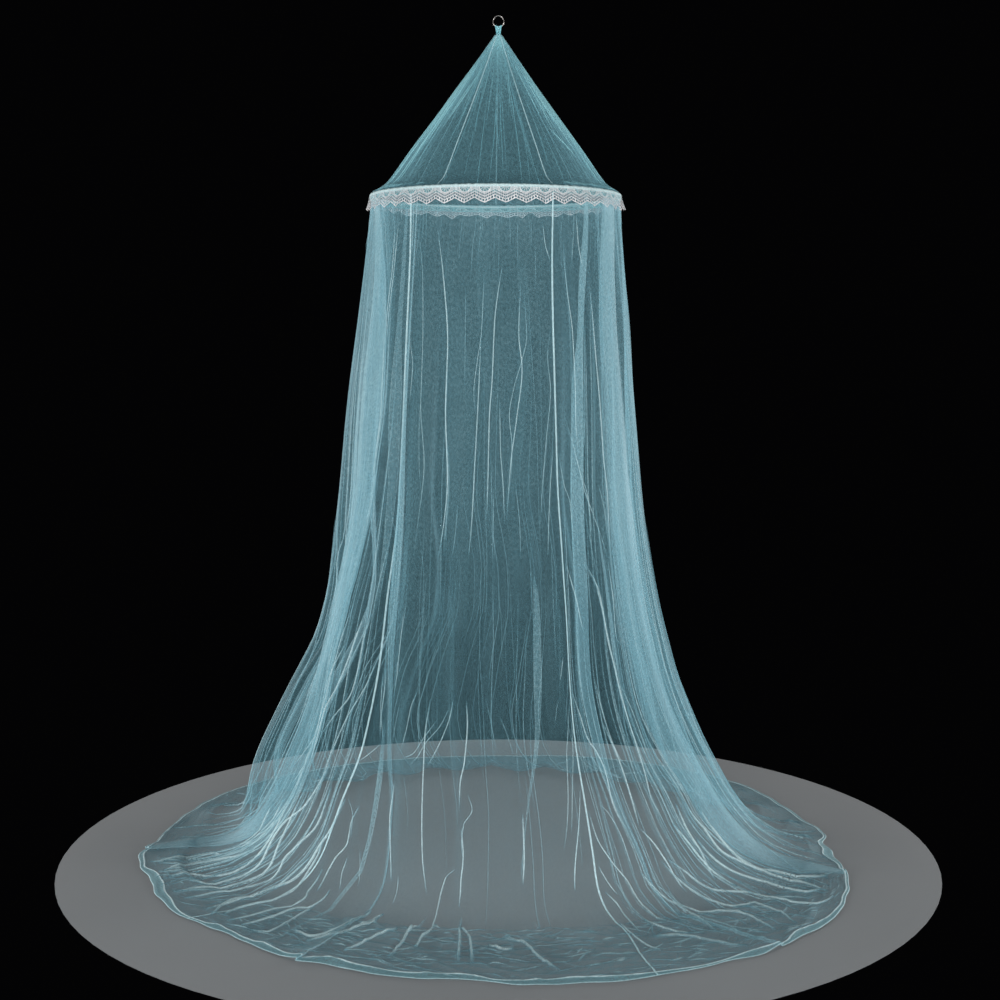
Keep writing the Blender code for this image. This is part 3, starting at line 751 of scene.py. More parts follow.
# ------------------------------------------------------------
# Wall: two panels of net joined by two long seams, gathered a little under the hoop. They hang
# in soft folds and flat pleats, flare out, and spread over the floor, where they crumple.
# ------------------------------------------------------------
WALL_TOP = CASING_TOP - CASING_DEPTH - 0.00045
LANDING_HEIGHT = 0.012
LEAST_HEIGHT = 0.0008
FLOOR_ROUNDING = 2.0e-6    # how softly the cloth is held up there, metres squared
WALL_ROWS = 88
FLOOR_ROWS = 56
HANGING_LEVELS, LYING_LEVELS = 500, 160
GATHER_HEIGHT = 0.0011
GATHER_REACH = 0.16        # metres below the casing
RUMPLE_HEIGHT = 0.007
WALL_DENSITY = 0.88        # of one layer that hangs flat
RUMPLE_DENSITY = 0.3
TOP_DENSITY, TOP_REACH = 0.4, 0.032
STREAK_DENSITY = 0.06      # share that the density wanders by
WALL_LEVELS = (  # height, radius at the sides
    (WALL_TOP, 0.2995), (1.450, 0.3160), (1.270, 0.3370), (1.080, 0.3570), (0.870, 0.3780),
    (0.650, 0.4160), (0.500, 0.4570), (0.350, 0.5190), (0.220, 0.5790), (0.150, 0.6110),
    (0.100, 0.6390), (0.065, 0.6660), (0.040, 0.6980), (0.022, 0.7350), (LANDING_HEIGHT, 0.7780),
)
SIDE_LEAN = (  # how far down, metres that the sides lean to the left
    (0, 0.0), (0.17, 0.005), (0.29, 0.012), (0.45, 0.015), (0.60, 0.018), (0.67, 0.020), (0.73, 0.026),
    (0.83, 0.030), (0.89, 0.024), (0.95, 0.010), (1.0, 0.0), (2, 0.0),
)
# share of the way from landing to the hem, height
FLOOR_LEVELS = ((0.0, LANDING_HEIGHT), (0.30, 0.0060), (0.70, 0.0025), (1.00, 0.0010))
LANDING_PLAN = (  # angle, radius where the cloth lands
    (-180, 0.700), (-150, 0.712), (-125, 0.755), (-112, 0.780), (-95, 0.785), (-75, 0.778),
    (-60, 0.745), (-45, 0.690), (-30, 0.650), (-10, 0.618), (10, 0.612), (28, 0.650), (45, 0.705),
    (62, 0.765), (78, 0.785), (90, 0.775), (105, 0.755), (120, 0.725), (140, 0.700), (160, 0.700),
)
HEM_PLAN = (  # angle, radius of the hem
    (-180, 0.868), (-150, 0.888), (-127, 0.896), (-116, 0.889), (-107, 0.873), (-92, 0.864),
    (-85, 0.886), (-79, 0.876), (-73, 0.856), (-62, 0.859), (-53, 0.852), (-48, 0.837), (-43, 0.834),
    (-36, 0.842), (-30, 0.855), (-23, 0.846), (-17, 0.857), (-10, 0.858), (-5, 0.850), (0, 0.863),
    (4, 0.880), (9, 0.881), (16, 0.893), (24, 0.892), (32, 0.895), (40, 0.908), (46, 0.901),
    (53, 0.907), (59, 0.900), (68, 0.883), (74, 0.872), (80, 0.852), (86, 0.840), (91, 0.831),
    (96, 0.855), (105, 0.846), (116, 0.863), (128, 0.894), (140, 0.902), (160, 0.900),
)
# a track is how far down the cloth, 0 at the casing, 1 on landing and 2 at the hem, then its angle
SEAM_LEFT = (
    (0, -39.6), (0.1, -38.6), (0.3, -38.3), (0.454, -39.8), (0.596, -41.8), (0.70, -41.4),
    (0.776, -41.2), (0.875, -43.7), (0.927, -45.8), (0.962, -47.6), (0.985, -48.6), (1.0, -49.4),
    (1.3, -51.0), (2, -53.0),
)
SEAM_RIGHT = (
    (0, 25.4), (0.1, 24.1), (0.2, 23.4), (0.39, 23.2), (0.51, 23.9), (0.59, 24.0), (0.677, 23.4),
    (0.765, 22.9), (0.85, 23.7), (0.946, 24.8), (1.02, 24.8), (1.68, 22.3), (2, 21.6),
)
# flat pleats: how far down, angle of the middle, width
PLEATS = {
    "front_left": (
        (0, -36.6, 0.003), (0.3, -37.0, 0.006), (0.408, -37.5, 0.015), (0.514, -38.0, 0.026),
        (0.58, -37.8, 0.026), (0.66, -36.6, 0.019), (0.717, -34.3, 0.013), (0.797, -31.0, 0.009),
        (0.874, -28.2, 0.007), (1.0, -28.0, 0.005), (2, -28.5, 0.003),
    ),
    "front_right": (
        (0, 44.5, 0.007), (0.029, 43.9, 0.010), (0.122, 39.3, 0.018), (0.193, 36.6, 0.014),
        (0.28, 33.7, 0.031), (0.417, 31.7, 0.035), (0.563, 30.7, 0.036), (0.692, 28.8, 0.032),
        (0.792, 30.2, 0.029), (0.86, 33.0, 0.014), (0.95, 37.0, 0.008), (2, 42.0, 0.003),
    ),
    "right": (
        (0, 64.0, 0.060), (0.12, 57.0, 0.070), (0.193, 55.0, 0.075), (0.282, 56.2, 0.085),
        (0.375, 57.2, 0.104), (0.468, 58.6, 0.126), (0.562, 58.6, 0.140), (0.649, 58.9, 0.152),
        (0.735, 58.7, 0.158), (0.8, 60.7, 0.154), (0.861, 64.8, 0.142), (0.895, 66.0, 0.150),
        (0.932, 68.5, 0.140), (0.958, 70.5, 0.122), (0.984, 72.5, 0.100), (1.0, 74.0, 0.080),
        (1.3, 75.5, 0.045), (2, 76.0, 0.010),
    ),
    "left": (
        (0, -70.0, 0.040), (0.12, -60.5, 0.070), (0.189, -59.3, 0.095), (0.285, -59.3, 0.120),
        (0.381, -61.0, 0.110), (0.478, -64.0, 0.100), (0.55, -69.0, 0.112), (0.61, -72.2, 0.115),
        (0.667, -72.5, 0.112), (0.715, -69.3, 0.108), (0.76, -65.8, 0.110), (0.80, -64.8, 0.110),
        (0.857, -65.0, 0.108), (0.906, -68.5, 0.110), (0.945, -74.5, 0.108), (0.972, -80.5, 0.100),
        (0.99, -85.0, 0.090), (1.0, -87.5, 0.080), (1.3, -88.0, 0.055), (1.8, -88.1, 0.032),
        (2, -88.2, 0.010),
    ),
}
SPREAD_OUT = (  # how far down, share of the density that is left as the flare opens the net out
    (0, 1.10), (0.25, 1.10), (0.45, 1.0), (0.62, 0.76), (0.72, 0.63), (0.85, 0.55), (1.0, 0.58),
    (1.15, 0.90), (2, 1.0),
)
PLEAT_LAYER = 0.0036
PLEAT_DENSITY = 0.55
PLEAT_EDGE_DENSITY = 0.9
PLEAT_RUNOUT = 0.045
PLEAT_COLUMNS = 34
SEAM_EASE = 0.02           # metres from a seam in which the layers come together
SOFT_FOLDS = (  # angle of the crest, depth of the valley to its right
    (-21, 0.026), (-9, 0.018), (2, 0.022), (13, 0.03), (44, 0.022), (78, 0.058),
    (90, 0.046), (103, 0.066), (119, 0.05), (134, 0.06), (152, 0.038), (169, 0.052),
    (186, 0.034), (203, 0.056), (219, 0.044), (236, 0.068), (251, 0.05), (266, 0.06),
    (302, 0.052),
)
FOLD_GROWTH = ((0, 0.0), (0.33, 0.40), (0.6, 0.80), (0.79, 1.0), (1.0, 0.80), (1.3, 0.30), (2, 0.0))
FOLD_ON_FLOOR = 0.24
FOLD_RIDGE = ((0, 0.0), (0.9, 0.0), (1.0, 0.45), (1.15, 1.0), (1.5, 0.55), (2, 0.05))
# strips where the net lies in more layers: extra density, then how far down, angle and width
STRIPS = (
    (1.7, (
        (0.745, -35.2, 0.008), (0.782, -34.2, 0.013), (0.833, -33.3, 0.020), (0.883, -33.3, 0.016),
        (0.918, -34.0, 0.013), (0.946, -34.5, 0.012), (0.978, -36.0, 0.011), (1.071, -36.7, 0.009),
        (1.6, -36.3, 0.007), (1.97, -38.0, 0.006),
    )),
    (1.6, (
        (0.531, 12.3, 0.004), (0.572, 13.1, 0.013), (0.669, 12.5, 0.019), (0.763, 11.2, 0.009),
        (0.841, 8.8, 0.005), (0.886, 7.4, 0.003), (0.951, 6.2, 0.003),
    )),
    (1.5, (
        (0.0, -41.9, 0.008), (0.193, -41.7, 0.013), (0.294, -41.2, 0.026), (0.373, -41.2, 0.021),
        (0.466, -42.3, 0.015), (0.6, -44.6, 0.006),
    )),
    (1.3, (
        (0.0, -60.5, 0.022), (0.12, -56.9, 0.023), (0.19, -55.0, 0.012),
    )),
    (1.2, (
        (0.0, 50.8, 0.006), (0.193, 48.7, 0.013), (0.328, 45.9, 0.007), (0.42, 45.4, 0.003),
    )),
    (1.3, (
        (0.07, 29.8, 0.003), (0.193, 31.2, 0.004), (0.28, 30.9, 0.007),
    )),
    (0.22, (
        (0.137, -18.6, 0.041), (0.208, -16.2, 0.057), (0.292, -13.9, 0.072), (0.404, -12.7, 0.068),
        (0.517, -12.5, 0.055), (0.627, -11.9, 0.051),
    )),
    (0.30, (
        (0.089, 11.0, 0.014), (0.151, 11.3, 0.025), (0.221, 11.0, 0.028), (0.291, 9.6, 0.028),
        (0.390, 6.6, 0.027), (0.459, 4.5, 0.015),
    )),
    (0.26, (
        (0.031, 31.7, 0.022), (0.095, 31.5, 0.032), (0.194, 31.0, 0.041), (0.321, 28.8, 0.037),
        (0.434, 27.5, 0.026), (0.519, 27.4, 0.021),
    )),
    (0.25, (
        (0.552, -17.7, 0.029), (0.601, -16.9, 0.052), (0.655, -15.9, 0.056), (0.724, -15.3, 0.050),
        (0.763, -15.2, 0.031),
    )),
    (0.20, (
        (0.552, 19.2, 0.024), (0.601, 19.2, 0.045), (0.656, 18.1, 0.054), (0.710, 17.6, 0.054),
        (0.763, 17.5, 0.044),
    )),
    (0.35, (
        (0.0, -54.7, 0.050), (0.092, -51.7, 0.058), (0.194, -47.2, 0.043), (0.294, -45.3, 0.028),
        (0.366, -44.5, 0.021),
    )),
    (0.18, (
        (0.047, -4.9, 0.029), (0.123, -4.7, 0.034), (0.208, -3.5, 0.027), (0.291, -3.1, 0.022),
    )),
)
# half width and rise in mm, extra density; then the track, over and over: thousandths of the
# way down and angle
DRAWN_FOLDS = (
    (1, 2, 1.5, 38, -35.7, 112, -31.1, 229, -29, 296, -28.7, 389, -25.9, 479, -27.9, 519, -28.7),
    (0.9, 2, 1.1, 263, -28.5, 329, -28.9, 396, -27.9, 429, -26.3),
    (1.2, 3, 3, 42, -25.3, 119, -21.2, 222, -18.6, 296, -18.8, 412, -17.5, 478, -18.6, 517, -19.7),
    (2.6, 2, 0.8, 345, -17.9, 412, -17, 478, -17.7, 517, -18),
    (0.9, 1, 0.9, 130, -11.8, 196, -11.5, 273, -11.3),
    (1, 2, 1.4, 107, -4.4, 196, -5.3, 236, -6.7, 281, -7.9, 315, -7.1),
    (1.1, 3, 2.3, 202, -5.4, 295, -6.3, 387, -7.3, 477, -8.2, 516, -8.9),
    (1.1, 3, 2.8, 97, 3.3, 137, 1.3, 182, -0.2, 263, -1.1, 315, -2.1, 394, -2.5, 461, -3),
    (1.1, 2, 2.2, 127, 10.2, 202, 9.1, 246, 10.1, 315, 8, 372, 5.9, 461, 3.9),
    (1, 2, 1.3, 140, 11.4, 202, 12.1, 236, 10.1, 278, 6.8, 315, 5.2, 355, 6.1, 387, 5.9, 437, 4.4),
    (1, 2, 1.8, 288, 1.6, 362, 1.9, 414, 2.8, 467, 3.2),
    (0.9, 1, 0.8, 77, 16.8, 130, 16.1),
    (1, 2, 1.7, 43, 20.3, 73, 21.2, 99, 23.3),
    (1, 2, 1.5, 189, 22.2, 236, 20.4, 273, 21.3, 345, 18.9, 428, 16.4, 477, 15.4),
    (1, 2, 1.7, 356, 21.8, 425, 19.7, 517, 17.7),
    (1.1, 2, 2, 31, 37.1, 71, 37.4, 108, 39.1),
    (1.1, 2, 2.3, 82, 29.3, 136, 30.6, 202, 32.3, 273, 32.2, 330, 31.7, 380, 32.5),
    (1.1, 3, 2.4, 128, 41.9, 209, 42.4, 297, 43.5, 376, 44, 434, 46.2, 525, 44),
    (1, 2, 1.4, 313, 26.9, 364, 30.7, 428, 34.7, 483, 38.8, 524, 42.3),
    (1, 2, 1.4, 369, 24.2, 413, 26, 439, 28, 497, 28.5),
    (1, 2, 1.4, 333, 28.1, 390, 32.3, 428, 35.2, 492, 36),
    (1, 2, 1.1, 408, 39.5, 461, 42.9, 502, 43.5),
    (0.9, 1, 1, 437, -13, 494, -14.2, 516, -15.1),
    (0.9, 1, 1, 407, 7.2, 474, 8.6, 516, 8.7),
    (0.9, 1, 1, 414, -0.6, 473, -0.6, 515, 0),
    (1, 2, 1.7, 24, -48.7, 107, -47.7, 182, -49.2, 230, -48.8),
    (1, 2, 1.7, 28, -46.3, 128, -46.7, 182, -47.6, 226, -47.3),
    (1, 2, 1.8, 175, -51.1, 281, -50.2, 384, -50.1, 453, -49.2),
    (1, 2, 1.5, 281, -48.3, 366, -48.5, 435, -48.1),
    (1, 2, 1.5, 202, -36.4, 249, -33.8, 297, -34.6),
    (1.1, 3, 1.8, 707, -12, 733, -13, 758, -14.6, 783, -16.4, 799, -17.7),
    (1, 2, 1.4, 719, -13.2, 746, -15.7, 766, -18.5, 785, -20.3, 799, -22.6),
    (1, 2, 1.3, 736, -16.4, 760, -19.2, 783, -21.9, 792, -25.4),
    (1.2, 3, 2.4, 710, -18.8, 747, -19, 796, -18.5, 858, -18, 920, -17.4, 970, -15.9),
    (1.2, 3, 2.6, 707, -8.1, 744, -7.5, 789, -7.9, 819, -8.9, 853, -9.1),
    (1.2, 4, 2.5, 878, -8.3, 918, -7.7, 954, -8.2, 984, -8.2),
    (1, 2, 1.4, 830, -6.9, 852, -5.6, 874, -7.7, 900, -8.2, 922, -7.8),
    (1.1, 4, 2, 938, -9.7, 951, -12.2, 983, -13, 1075, -10.7),
    (1.7, 4, 2.1, 825, -27.9, 873, -28.4, 913, -27.5, 961, -25.6),
    (1, 2, 1.1, 950, -23.7, 979, -23.3, 987, -23.3),
    (1.5, 4, 2.5, 860, 6.9, 918, 7.1, 957, 6.6),
    (1, 2, 1.6, 711, 22.8, 755, 20.7, 784, 19.4, 833, 18.7, 883, 17.6, 913, 16.6),
    (1, 2, 1.7, 736, 22.6, 781, 21.8, 834, 20, 889, 18.8),
    (1.1, 3, 2.5, 831, 22.8, 880, 21.2, 927, 19.6, 969, 18.7),
    (0.9, 1, 0.8, 706, -2.8, 736, -1.2, 775, 0.3),
    (0.9, 1, 0.8, 726, 1.1, 751, 3.1, 781, 4.9),
    (0.9, 1, 0.9, 710, 18.6, 722, 17.6, 742, 16.7),
    (1, 2, 1.6, 576, -30.2, 635, -31.5, 673, -31.5, 717, -32.3),
    (1, 2, 1.3, 596, -31.5, 657, -31.6, 687, -32.5),
    (1, 2, 1.5, 696, -22.3, 722, -24.1, 751, -24.8, 785, -26.2),
    (1, 2, 1, 719, -29, 753, -30, 779, -30.4),
    (1.1, 4, 2.2, 594, -47.4, 634, -49, 674, -50.1, 714, -51.1, 747, -52.6, 790, -52, 828, -51.6),
    (1, 4, 1.7, 603, -45.3, 643, -47.1, 714, -46.9, 752, -49.1, 779, -50.9),
    (1, 3, 1.6, 596, -51.8, 647, -54.1, 691, -54.6, 726, -54.1, 758, -52.3),
    (1, 3, 1.5, 646, -51.6, 674, -53.8, 697, -55.1, 727, -55.7),
    (1, 3, 1.6, 666, -42.2, 705, -43.5, 752, -46.1, 791, -47.1, 831, -48.2),
    (1, 3, 1.4, 686, -39.4, 733, -37.5, 766, -35.2, 781, -33.8),
    (1, 3, 1.5, 676, -37.3, 707, -37, 745, -36.7, 775, -35.7),
    (1, 3, 1.5, 782, -34.9, 796, -37.7, 812, -41.6),
    (1, 4, 1.7, 709, -52.8, 760, -54.8, 801, -56.2, 833, -59.2, 858, -60.1),
    (1, 3, 1.5, 731, -55.4, 776, -57.9, 810, -61.2, 843, -64.2),
    (1, 3, 1.4, 774, -55.7, 809, -57.6, 838, -59.8, 870, -62.5),
    (1.4, 6, 2.3, 810, -46.6, 874, -50.2, 910, -55.5, 940, -57.6, 969, -58.4, 987, -59.8, 997, -61.6,
     1221, -66.1),
    (1.4, 6, 2.1, 851, -54.1, 894, -56.1, 928, -57.7, 961, -59.9, 978, -61.4, 989, -62.8, 997, -65.8,
     1000, -68.9, 1573, -70.4),
    (1.4, 6, 2, 844, -50.4, 902, -53.5, 945, -55.7, 978, -56.4, 989, -57.6, 998, -59.3, 1327, -62.6,
     1729, -63.7),
    (1.3, 6, 2, 844, -45.7, 905, -48.3, 938, -51.8, 960, -54, 983, -54.1, 993, -55.8, 1000, -57.3,
     1653, -60.3),
    (1.4, 7, 2.5, 861, -42.2, 907, -44.8, 935, -47.6, 966, -49.1, 983, -50.2, 994, -52.5, 1075, -53.4,
     1663, -53.7),
    (1.3, 6, 2.1, 949, -48.7, 972, -50.7, 989, -51.7, 997, -53, 1231, -54.2, 1759, -51.1),
    (1.3, 6, 2.1, 917, -46.6, 944, -47.4, 971, -48.4, 991, -48.3, 999, -48.9, 1302, -50.7, 1628, -50.2),
    (1.2, 5, 1.8, 961, -44.6, 987, -44.8, 997, -43.8, 1156, -45.7, 1492, -46.8, 1744, -47.6),
    (1.2, 6, 2.1, 984, -40.5, 994, -40.2, 1030, -42.5, 1412, -43.5, 1764, -44.3),
    (1.2, 5, 1.8, 997, -39.8, 1080, -39.9, 1503, -39, 1643, -38.9, 1754, -41.8),
    (1.3, 5, 1.8, 898, -67.3, 921, -68.5, 951, -68.9, 967, -70.4, 974, -70.4),
    (1.3, 5, 1.8, 885, -62.9, 914, -64.5, 952, -66.6, 970, -69.2),
    (1.2, 5, 1.7, 875, -59.5, 905, -60.3, 938, -62.5, 960, -64.9),
    (2.4, 6, 1.8, 954, -61.9, 970, -65.4, 982, -69.3, 993, -72.3, 999, -73.6, 1588, -73.7),
    (2.4, 6, 1.5, 980, -70.8, 999, -78.3, 1784, -79.8),
    (1.1, 4, 1.8, 868, -37.9, 898, -40.2, 922, -40.3, 947, -42.6, 969, -43.3, 988, -43),
    (1, 3, 1.4, 941, -39.4, 961, -39.9, 983, -38.2),
    (1, 3, 1, 929, -36.2, 957, -35.1, 977, -34.1),
    (1, 3, 1, 861, -42.2, 890, -39.9, 917, -39.6),
    (1.4, 7, 2.3, 994, -27.4, 1060, -28.5, 1362, -29.7, 1508, -32.1, 1482, -35.6),
    (1.4, 7, 2.1, 996, -24, 1106, -25.1, 1291, -27.3, 1432, -29.3, 1643, -30.9),
    (1.3, 7, 1.8, 1151, -18, 1317, -20.9, 1553, -22.4, 1709, -23.7),
    (2, 7, 1.4, 993, -14.5, 1030, -16.3, 1347, -16, 1729, -16.2),
    (1.4, 7, 1.8, 1000, -11.9, 1206, -13.3, 1442, -13.4),
    (2, 7, 1.2, 992, -7.2, 1131, -6.5, 1724, -5.5),
    (2, 7, 1.3, 992, -7, 1131, -4.9, 1744, -3.2),
    (2, 7, 1.3, 1171, 1.6, 1296, 5.2, 1588, 7.4, 1789, 9.2),
    (1.4, 7, 1.6, 1307, -1.2, 1372, 0.7, 1397, 3.1),
    (1.3, 7, 1.8, 1342, -27.3, 1131, -25.8, 999, -24.9, 996, -23.7),
    (1.3, 7, 2.1, 1201, -28.7, 1005, -28.1, 996, -27.1),
    (1, 3, 2, 523, 25.4, 563, 27.4, 592, 28.4, 624, 29.5),
    (1.1, 4, 2.5, 699, 23.7, 733, 25.4, 766, 26.6, 786, 28.5, 812, 30.3, 846, 31, 871, 32.1, 901, 34.7),
    (1.2, 4, 2.6, 521, 32.5, 570, 36.2, 631, 37.1, 677, 38.1, 724, 39, 773, 40.1, 820, 41, 851, 41,
     873, 42.3, 902, 44),
    (1, 3, 1.7, 524, 42, 580, 42.7, 633, 41.6, 648, 43.7),
    (1, 3, 1.6, 536, 34.8, 595, 36.5, 642, 37.1, 692, 38.8),
    (1, 3, 1.5, 687, 31.5, 747, 32.6, 798, 34.7, 816, 37.1),
    (1, 3, 1.5, 696, 39.5, 741, 42.9, 784, 44.1, 813, 45),
    (1.1, 4, 2.2, 747, 31.8, 793, 34.1, 835, 35.5, 892, 36.9),
    (1.1, 4, 2.2, 892, 36.9, 920, 40.3, 954, 42.3, 983, 42.9),
    (1, 3, 1.6, 854, 27.3, 870, 30, 910, 33.1, 951, 34.2),
    (1.1, 4, 2.3, 863, 24.4, 902, 26.1, 934, 29.2, 969, 32.7, 991, 33, 1075, 33.9),
    (1, 3, 1.7, 939, 25.7, 963, 27.6, 979, 29),
    (1.1, 4, 2.1, 973, 26.2, 989, 27.9, 1000, 27.6, 1221, 26.6),
    (1.1, 4, 2.1, 1015, 25.2, 1261, 25, 1462, 25.2, 1593, 26),
    (1.1, 3, 1.8, 653, 21.6, 686, 19.5),
    (1.1, 3, 2.2, 845, 22.4, 882, 21.1, 933, 19.4, 967, 18.7),
    (1.4, 6, 2.2, 894, 46, 922, 48.9, 951, 50.9, 978, 52.8, 989, 54.1),
    (1.4, 6, 2.1, 873, 49.7, 910, 50.6, 942, 51.8, 978, 50.8),
    (1.4, 7, 2.4, 871, 53.5, 898, 55.4, 920, 57.5, 948, 58.5, 974, 62.7, 992, 65.5, 1106, 66.7, 1673,
     65),
    (1.4, 7, 2.3, 881, 58.7, 908, 59.5, 932, 60.9, 964, 62.5, 984, 64.4, 996, 68.1, 1538, 72.6),
    (1.4, 7, 2.3, 922, 52, 949, 54.1, 977, 57.4, 989, 60, 998, 61.5, 1276, 62.3, 1533, 65.6),
    (1.3, 6, 2, 938, 41.7, 960, 45.2, 980, 47.2, 986, 48.6, 991, 52, 999, 55.3, 1286, 56.5, 1603, 58.6,
     1789, 64.4),
    (1.3, 6, 1.8, 940, 40.6, 969, 43, 990, 45.1, 998, 46.6, 1030, 51.7, 1332, 51.6, 1794, 49.3),
    (1.3, 6, 1.7, 978, 39.8, 993, 39.6, 1000, 41, 1055, 44.5, 1302, 46.4, 1759, 45.1),
    (1.3, 6, 2.2, 952, 35.4, 973, 37, 989, 38.4, 997, 39.4, 1181, 38.9, 1457, 37.7),
    (2.2, 7, 1.1, 1327, 27.3, 1347, 31, 1508, 34.1, 1668, 35.6, 1824, 37.9),
    (1.3, 6, 1.7, 1020, 30.1, 1221, 31.6, 1387, 33.8),
)
# folds by the dozen: how many, angles they lie between, starts, lengths, extra density
FINE_FOLDS = (
    (14, (-36, 22), (0.05, 0.60), (0.15, 0.50), (0.2, 0.7)),
    (18, (-36, 22), (0.45, 0.85), (0.10, 0.35), (0.3, 0.9)),
    (22, (27, 66), (0.0, 0.60), (0.20, 0.55), (0.3, 1.1)),
    (14, (27, 40), (0.45, 0.93), (0.25, 1.10), (0.4, 1.2)),
    (40, (40, 66), (0.45, 0.93), (0.25, 1.10), (0.4, 1.4)),
    (22, (66, 104), (0.0, 0.97), (0.25, 1.00), (0.4, 1.2)),
    (24, (-67, -44), (0.0, 0.60), (0.20, 0.55), (0.3, 1.1)),
    (46, (-67, -44), (0.45, 0.93), (0.25, 1.10), (0.4, 1.4)),
    (26, (-104, -67), (0.0, 0.97), (0.25, 1.00), (0.4, 1.2)),
    (60, (104, 256), (0.1, 0.95), (0.30, 0.90), (0.4, 1.4)),
    (70, (30, 330), (0.0, 0.01), (0.02, 0.12), (0.4, 1.3)),
    (10, (-30, 30), (0.0, 0.01), (0.02, 0.06), (0.3, 0.7)),
)
PLEAT_STREAKS = (("left", 40), ("right", 28), ("front_right", 8), ("front_left", 6))
# least and most of their share of the pleat's width, start, length, extra density and half width
STREAK_RANGES = ((-0.48, 0.0, 0.15, 0.35, 0.8), (0.48, 0.75, 0.75, 1.30, 1.2))
# crumples on the floor: how many, middle and half spread of their angles, extra density
CRUMPLES = (
    (420, -8, 40, (0.4, 1.5)), (190, 52, 22, (0.4, 1.4)), (90, -66, 26, (0.3, 1.1)),
    (160, 180, 90, (0.4, 1.3)),
)
# where the cloth lies rumpled: angle, half spread, share
LYING_POOLS = ((-8, 32, 1.0), (48, 17, 0.8), (-62, 16, 0.3), (180, 75, 0.4))


def level_table():
    """The wall's profile at the sides, by how far down: height, radius, the outward and the upward
    part of the cloth's normal, the length of cloth from the casing, and its metres for each whole
    step of how far down."""
    level_height, level_radius = np.array(WALL_LEVELS).T
    floor_share, floor_height = np.array(FLOOR_LEVELS).T
    down = np.concatenate([np.linspace(0, 1, HANGING_LEVELS), np.linspace(1, 2, LYING_LEVELS)[1:]])
    hanging = WALL_TOP - (WALL_TOP - LANDING_HEIGHT) * np.minimum(down, 1.0)
    lying = np.clip(down - 1.0, 0.0, 1.0)
    height = np.where(down < 1.0, hanging, smooth_read(lying, floor_share, floor_height))
    radius = smooth_read(WALL_TOP - hanging, WALL_TOP - level_height, level_radius)
    run, drop = np.gradient(radius + 0.18 * lying), np.gradient(height)
    step = np.hypot(run, drop)
    length = np.concatenate([[0], np.cumsum(step)[:-1]])
    rate = np.gradient(length) / np.gradient(down)
    return down, height, radius, -drop / step, run / step, length, rate


LEVEL_TABLE = level_table()
DOWN, HEIGHT, RADIUS, OUT, UP, LENGTH, RATE = range(7)


def level_read(down, column):
    """One column of the profile at each place down the wall."""
    return np.interp(down, LEVEL_TABLE[DOWN], LEVEL_TABLE[column])


def round_read(angle, table):
    """smooth_read on a table that closes on itself after 360 degrees."""
    xs, ys = zip(*[(a + turn, v) for turn in (-360, 0, 360) for a, v in table])
    return smooth_read(apart(np.asarray(angle, float), 0.0), xs, ys)


def track_read(down, track, column=1):
    """One column of a track's table at each place down the wall."""
    table = np.array(track, float).T
    return smooth_read(down, table[0], table[column])


def plan_radius(angle, down):
    """The wall's radius before its folds. The outline swings from the side radius to the floor
    plan's own as it nears the floor, and the hem wanders by a few millimetres."""
    landing = round_read(angle, LANDING_PLAN)
    hem = round_read(angle, HEM_PLAN) + 0.0020 * ripple(angle, 7, 20, 70, 21)
    nearness = np.clip(1.0 - level_read(down, HEIGHT), 0.0, 1.0) ** 4
    spread = np.clip(down - 1.0, 0.0, 1.0)
    swing = (landing - LEVEL_TABLE[RADIUS][-1]) * nearness
    return level_read(down, RADIUS) + swing + (hem - landing) * spread


def fixed_lines(down):
    """Angles of the lines that hold the folds in place, at each place down the wall: the seams and
    both sides of each flat pleat, from the left seam right round to it again."""
    lines = [track_read(down, SEAM_LEFT)]
    for name in ("front_left", "seam", "front_right", "right", "left"):
        if name == "seam":
            lines.append(track_read(down, SEAM_RIGHT))
            continue
        turn = 360.0 if name == "left" else 0.0
        edge = np.degrees(0.5 * track_read(down, PLEATS[name], 2) / level_read(down, RADIUS))
        middle = track_read(down, PLEATS[name]) + turn
        lines += [middle - edge, middle + edge]
    return np.stack([*lines, lines[0] + 360.0])


# the same lines' mean angles; a pleat's two sides come together there
FIXED_FOLD = np.mean(fixed_lines(np.linspace(0, 1.2, 25)), axis=1)
for side in (1, 4, 6, 8):
    FIXED_FOLD[side:side + 2] = FIXED_FOLD[side:side + 2].mean() + np.array([-0.01, 0.01])


def shared_out(value, known, wanted):
    """Piecewise-linear reading, point by point: value among the known lines gives its place among
    the wanted ones."""
    total = wanted[0] + 0.0 * value
    for k in range(len(known) - 1):
        share = np.clip((value - known[k]) / (known[k + 1] - known[k]), 0.0, 1.0)
        total = total + share * (wanted[k + 1] - wanted[k])
    return total


def soft_folds(angle):
    """Raised cosine from crest to crest: 0 on a crest and 1 in the valley, and the valley's depth."""
    crests, depths = (np.array(column) for column in zip(*SOFT_FOLDS))
    turns = (-360.0, 0.0, 360.0)
    crests, depths = np.concatenate([crests + turn for turn in turns]), np.tile(depths, 3)
    k = np.clip(np.searchsorted(crests, angle, side="right") - 1, 0, len(crests) - 2)
    across = (angle - crests[k]) / (crests[k + 1] - crests[k])
    return 0.5 - 0.5 * np.cos(2.0 * math.pi * across), depths[k]


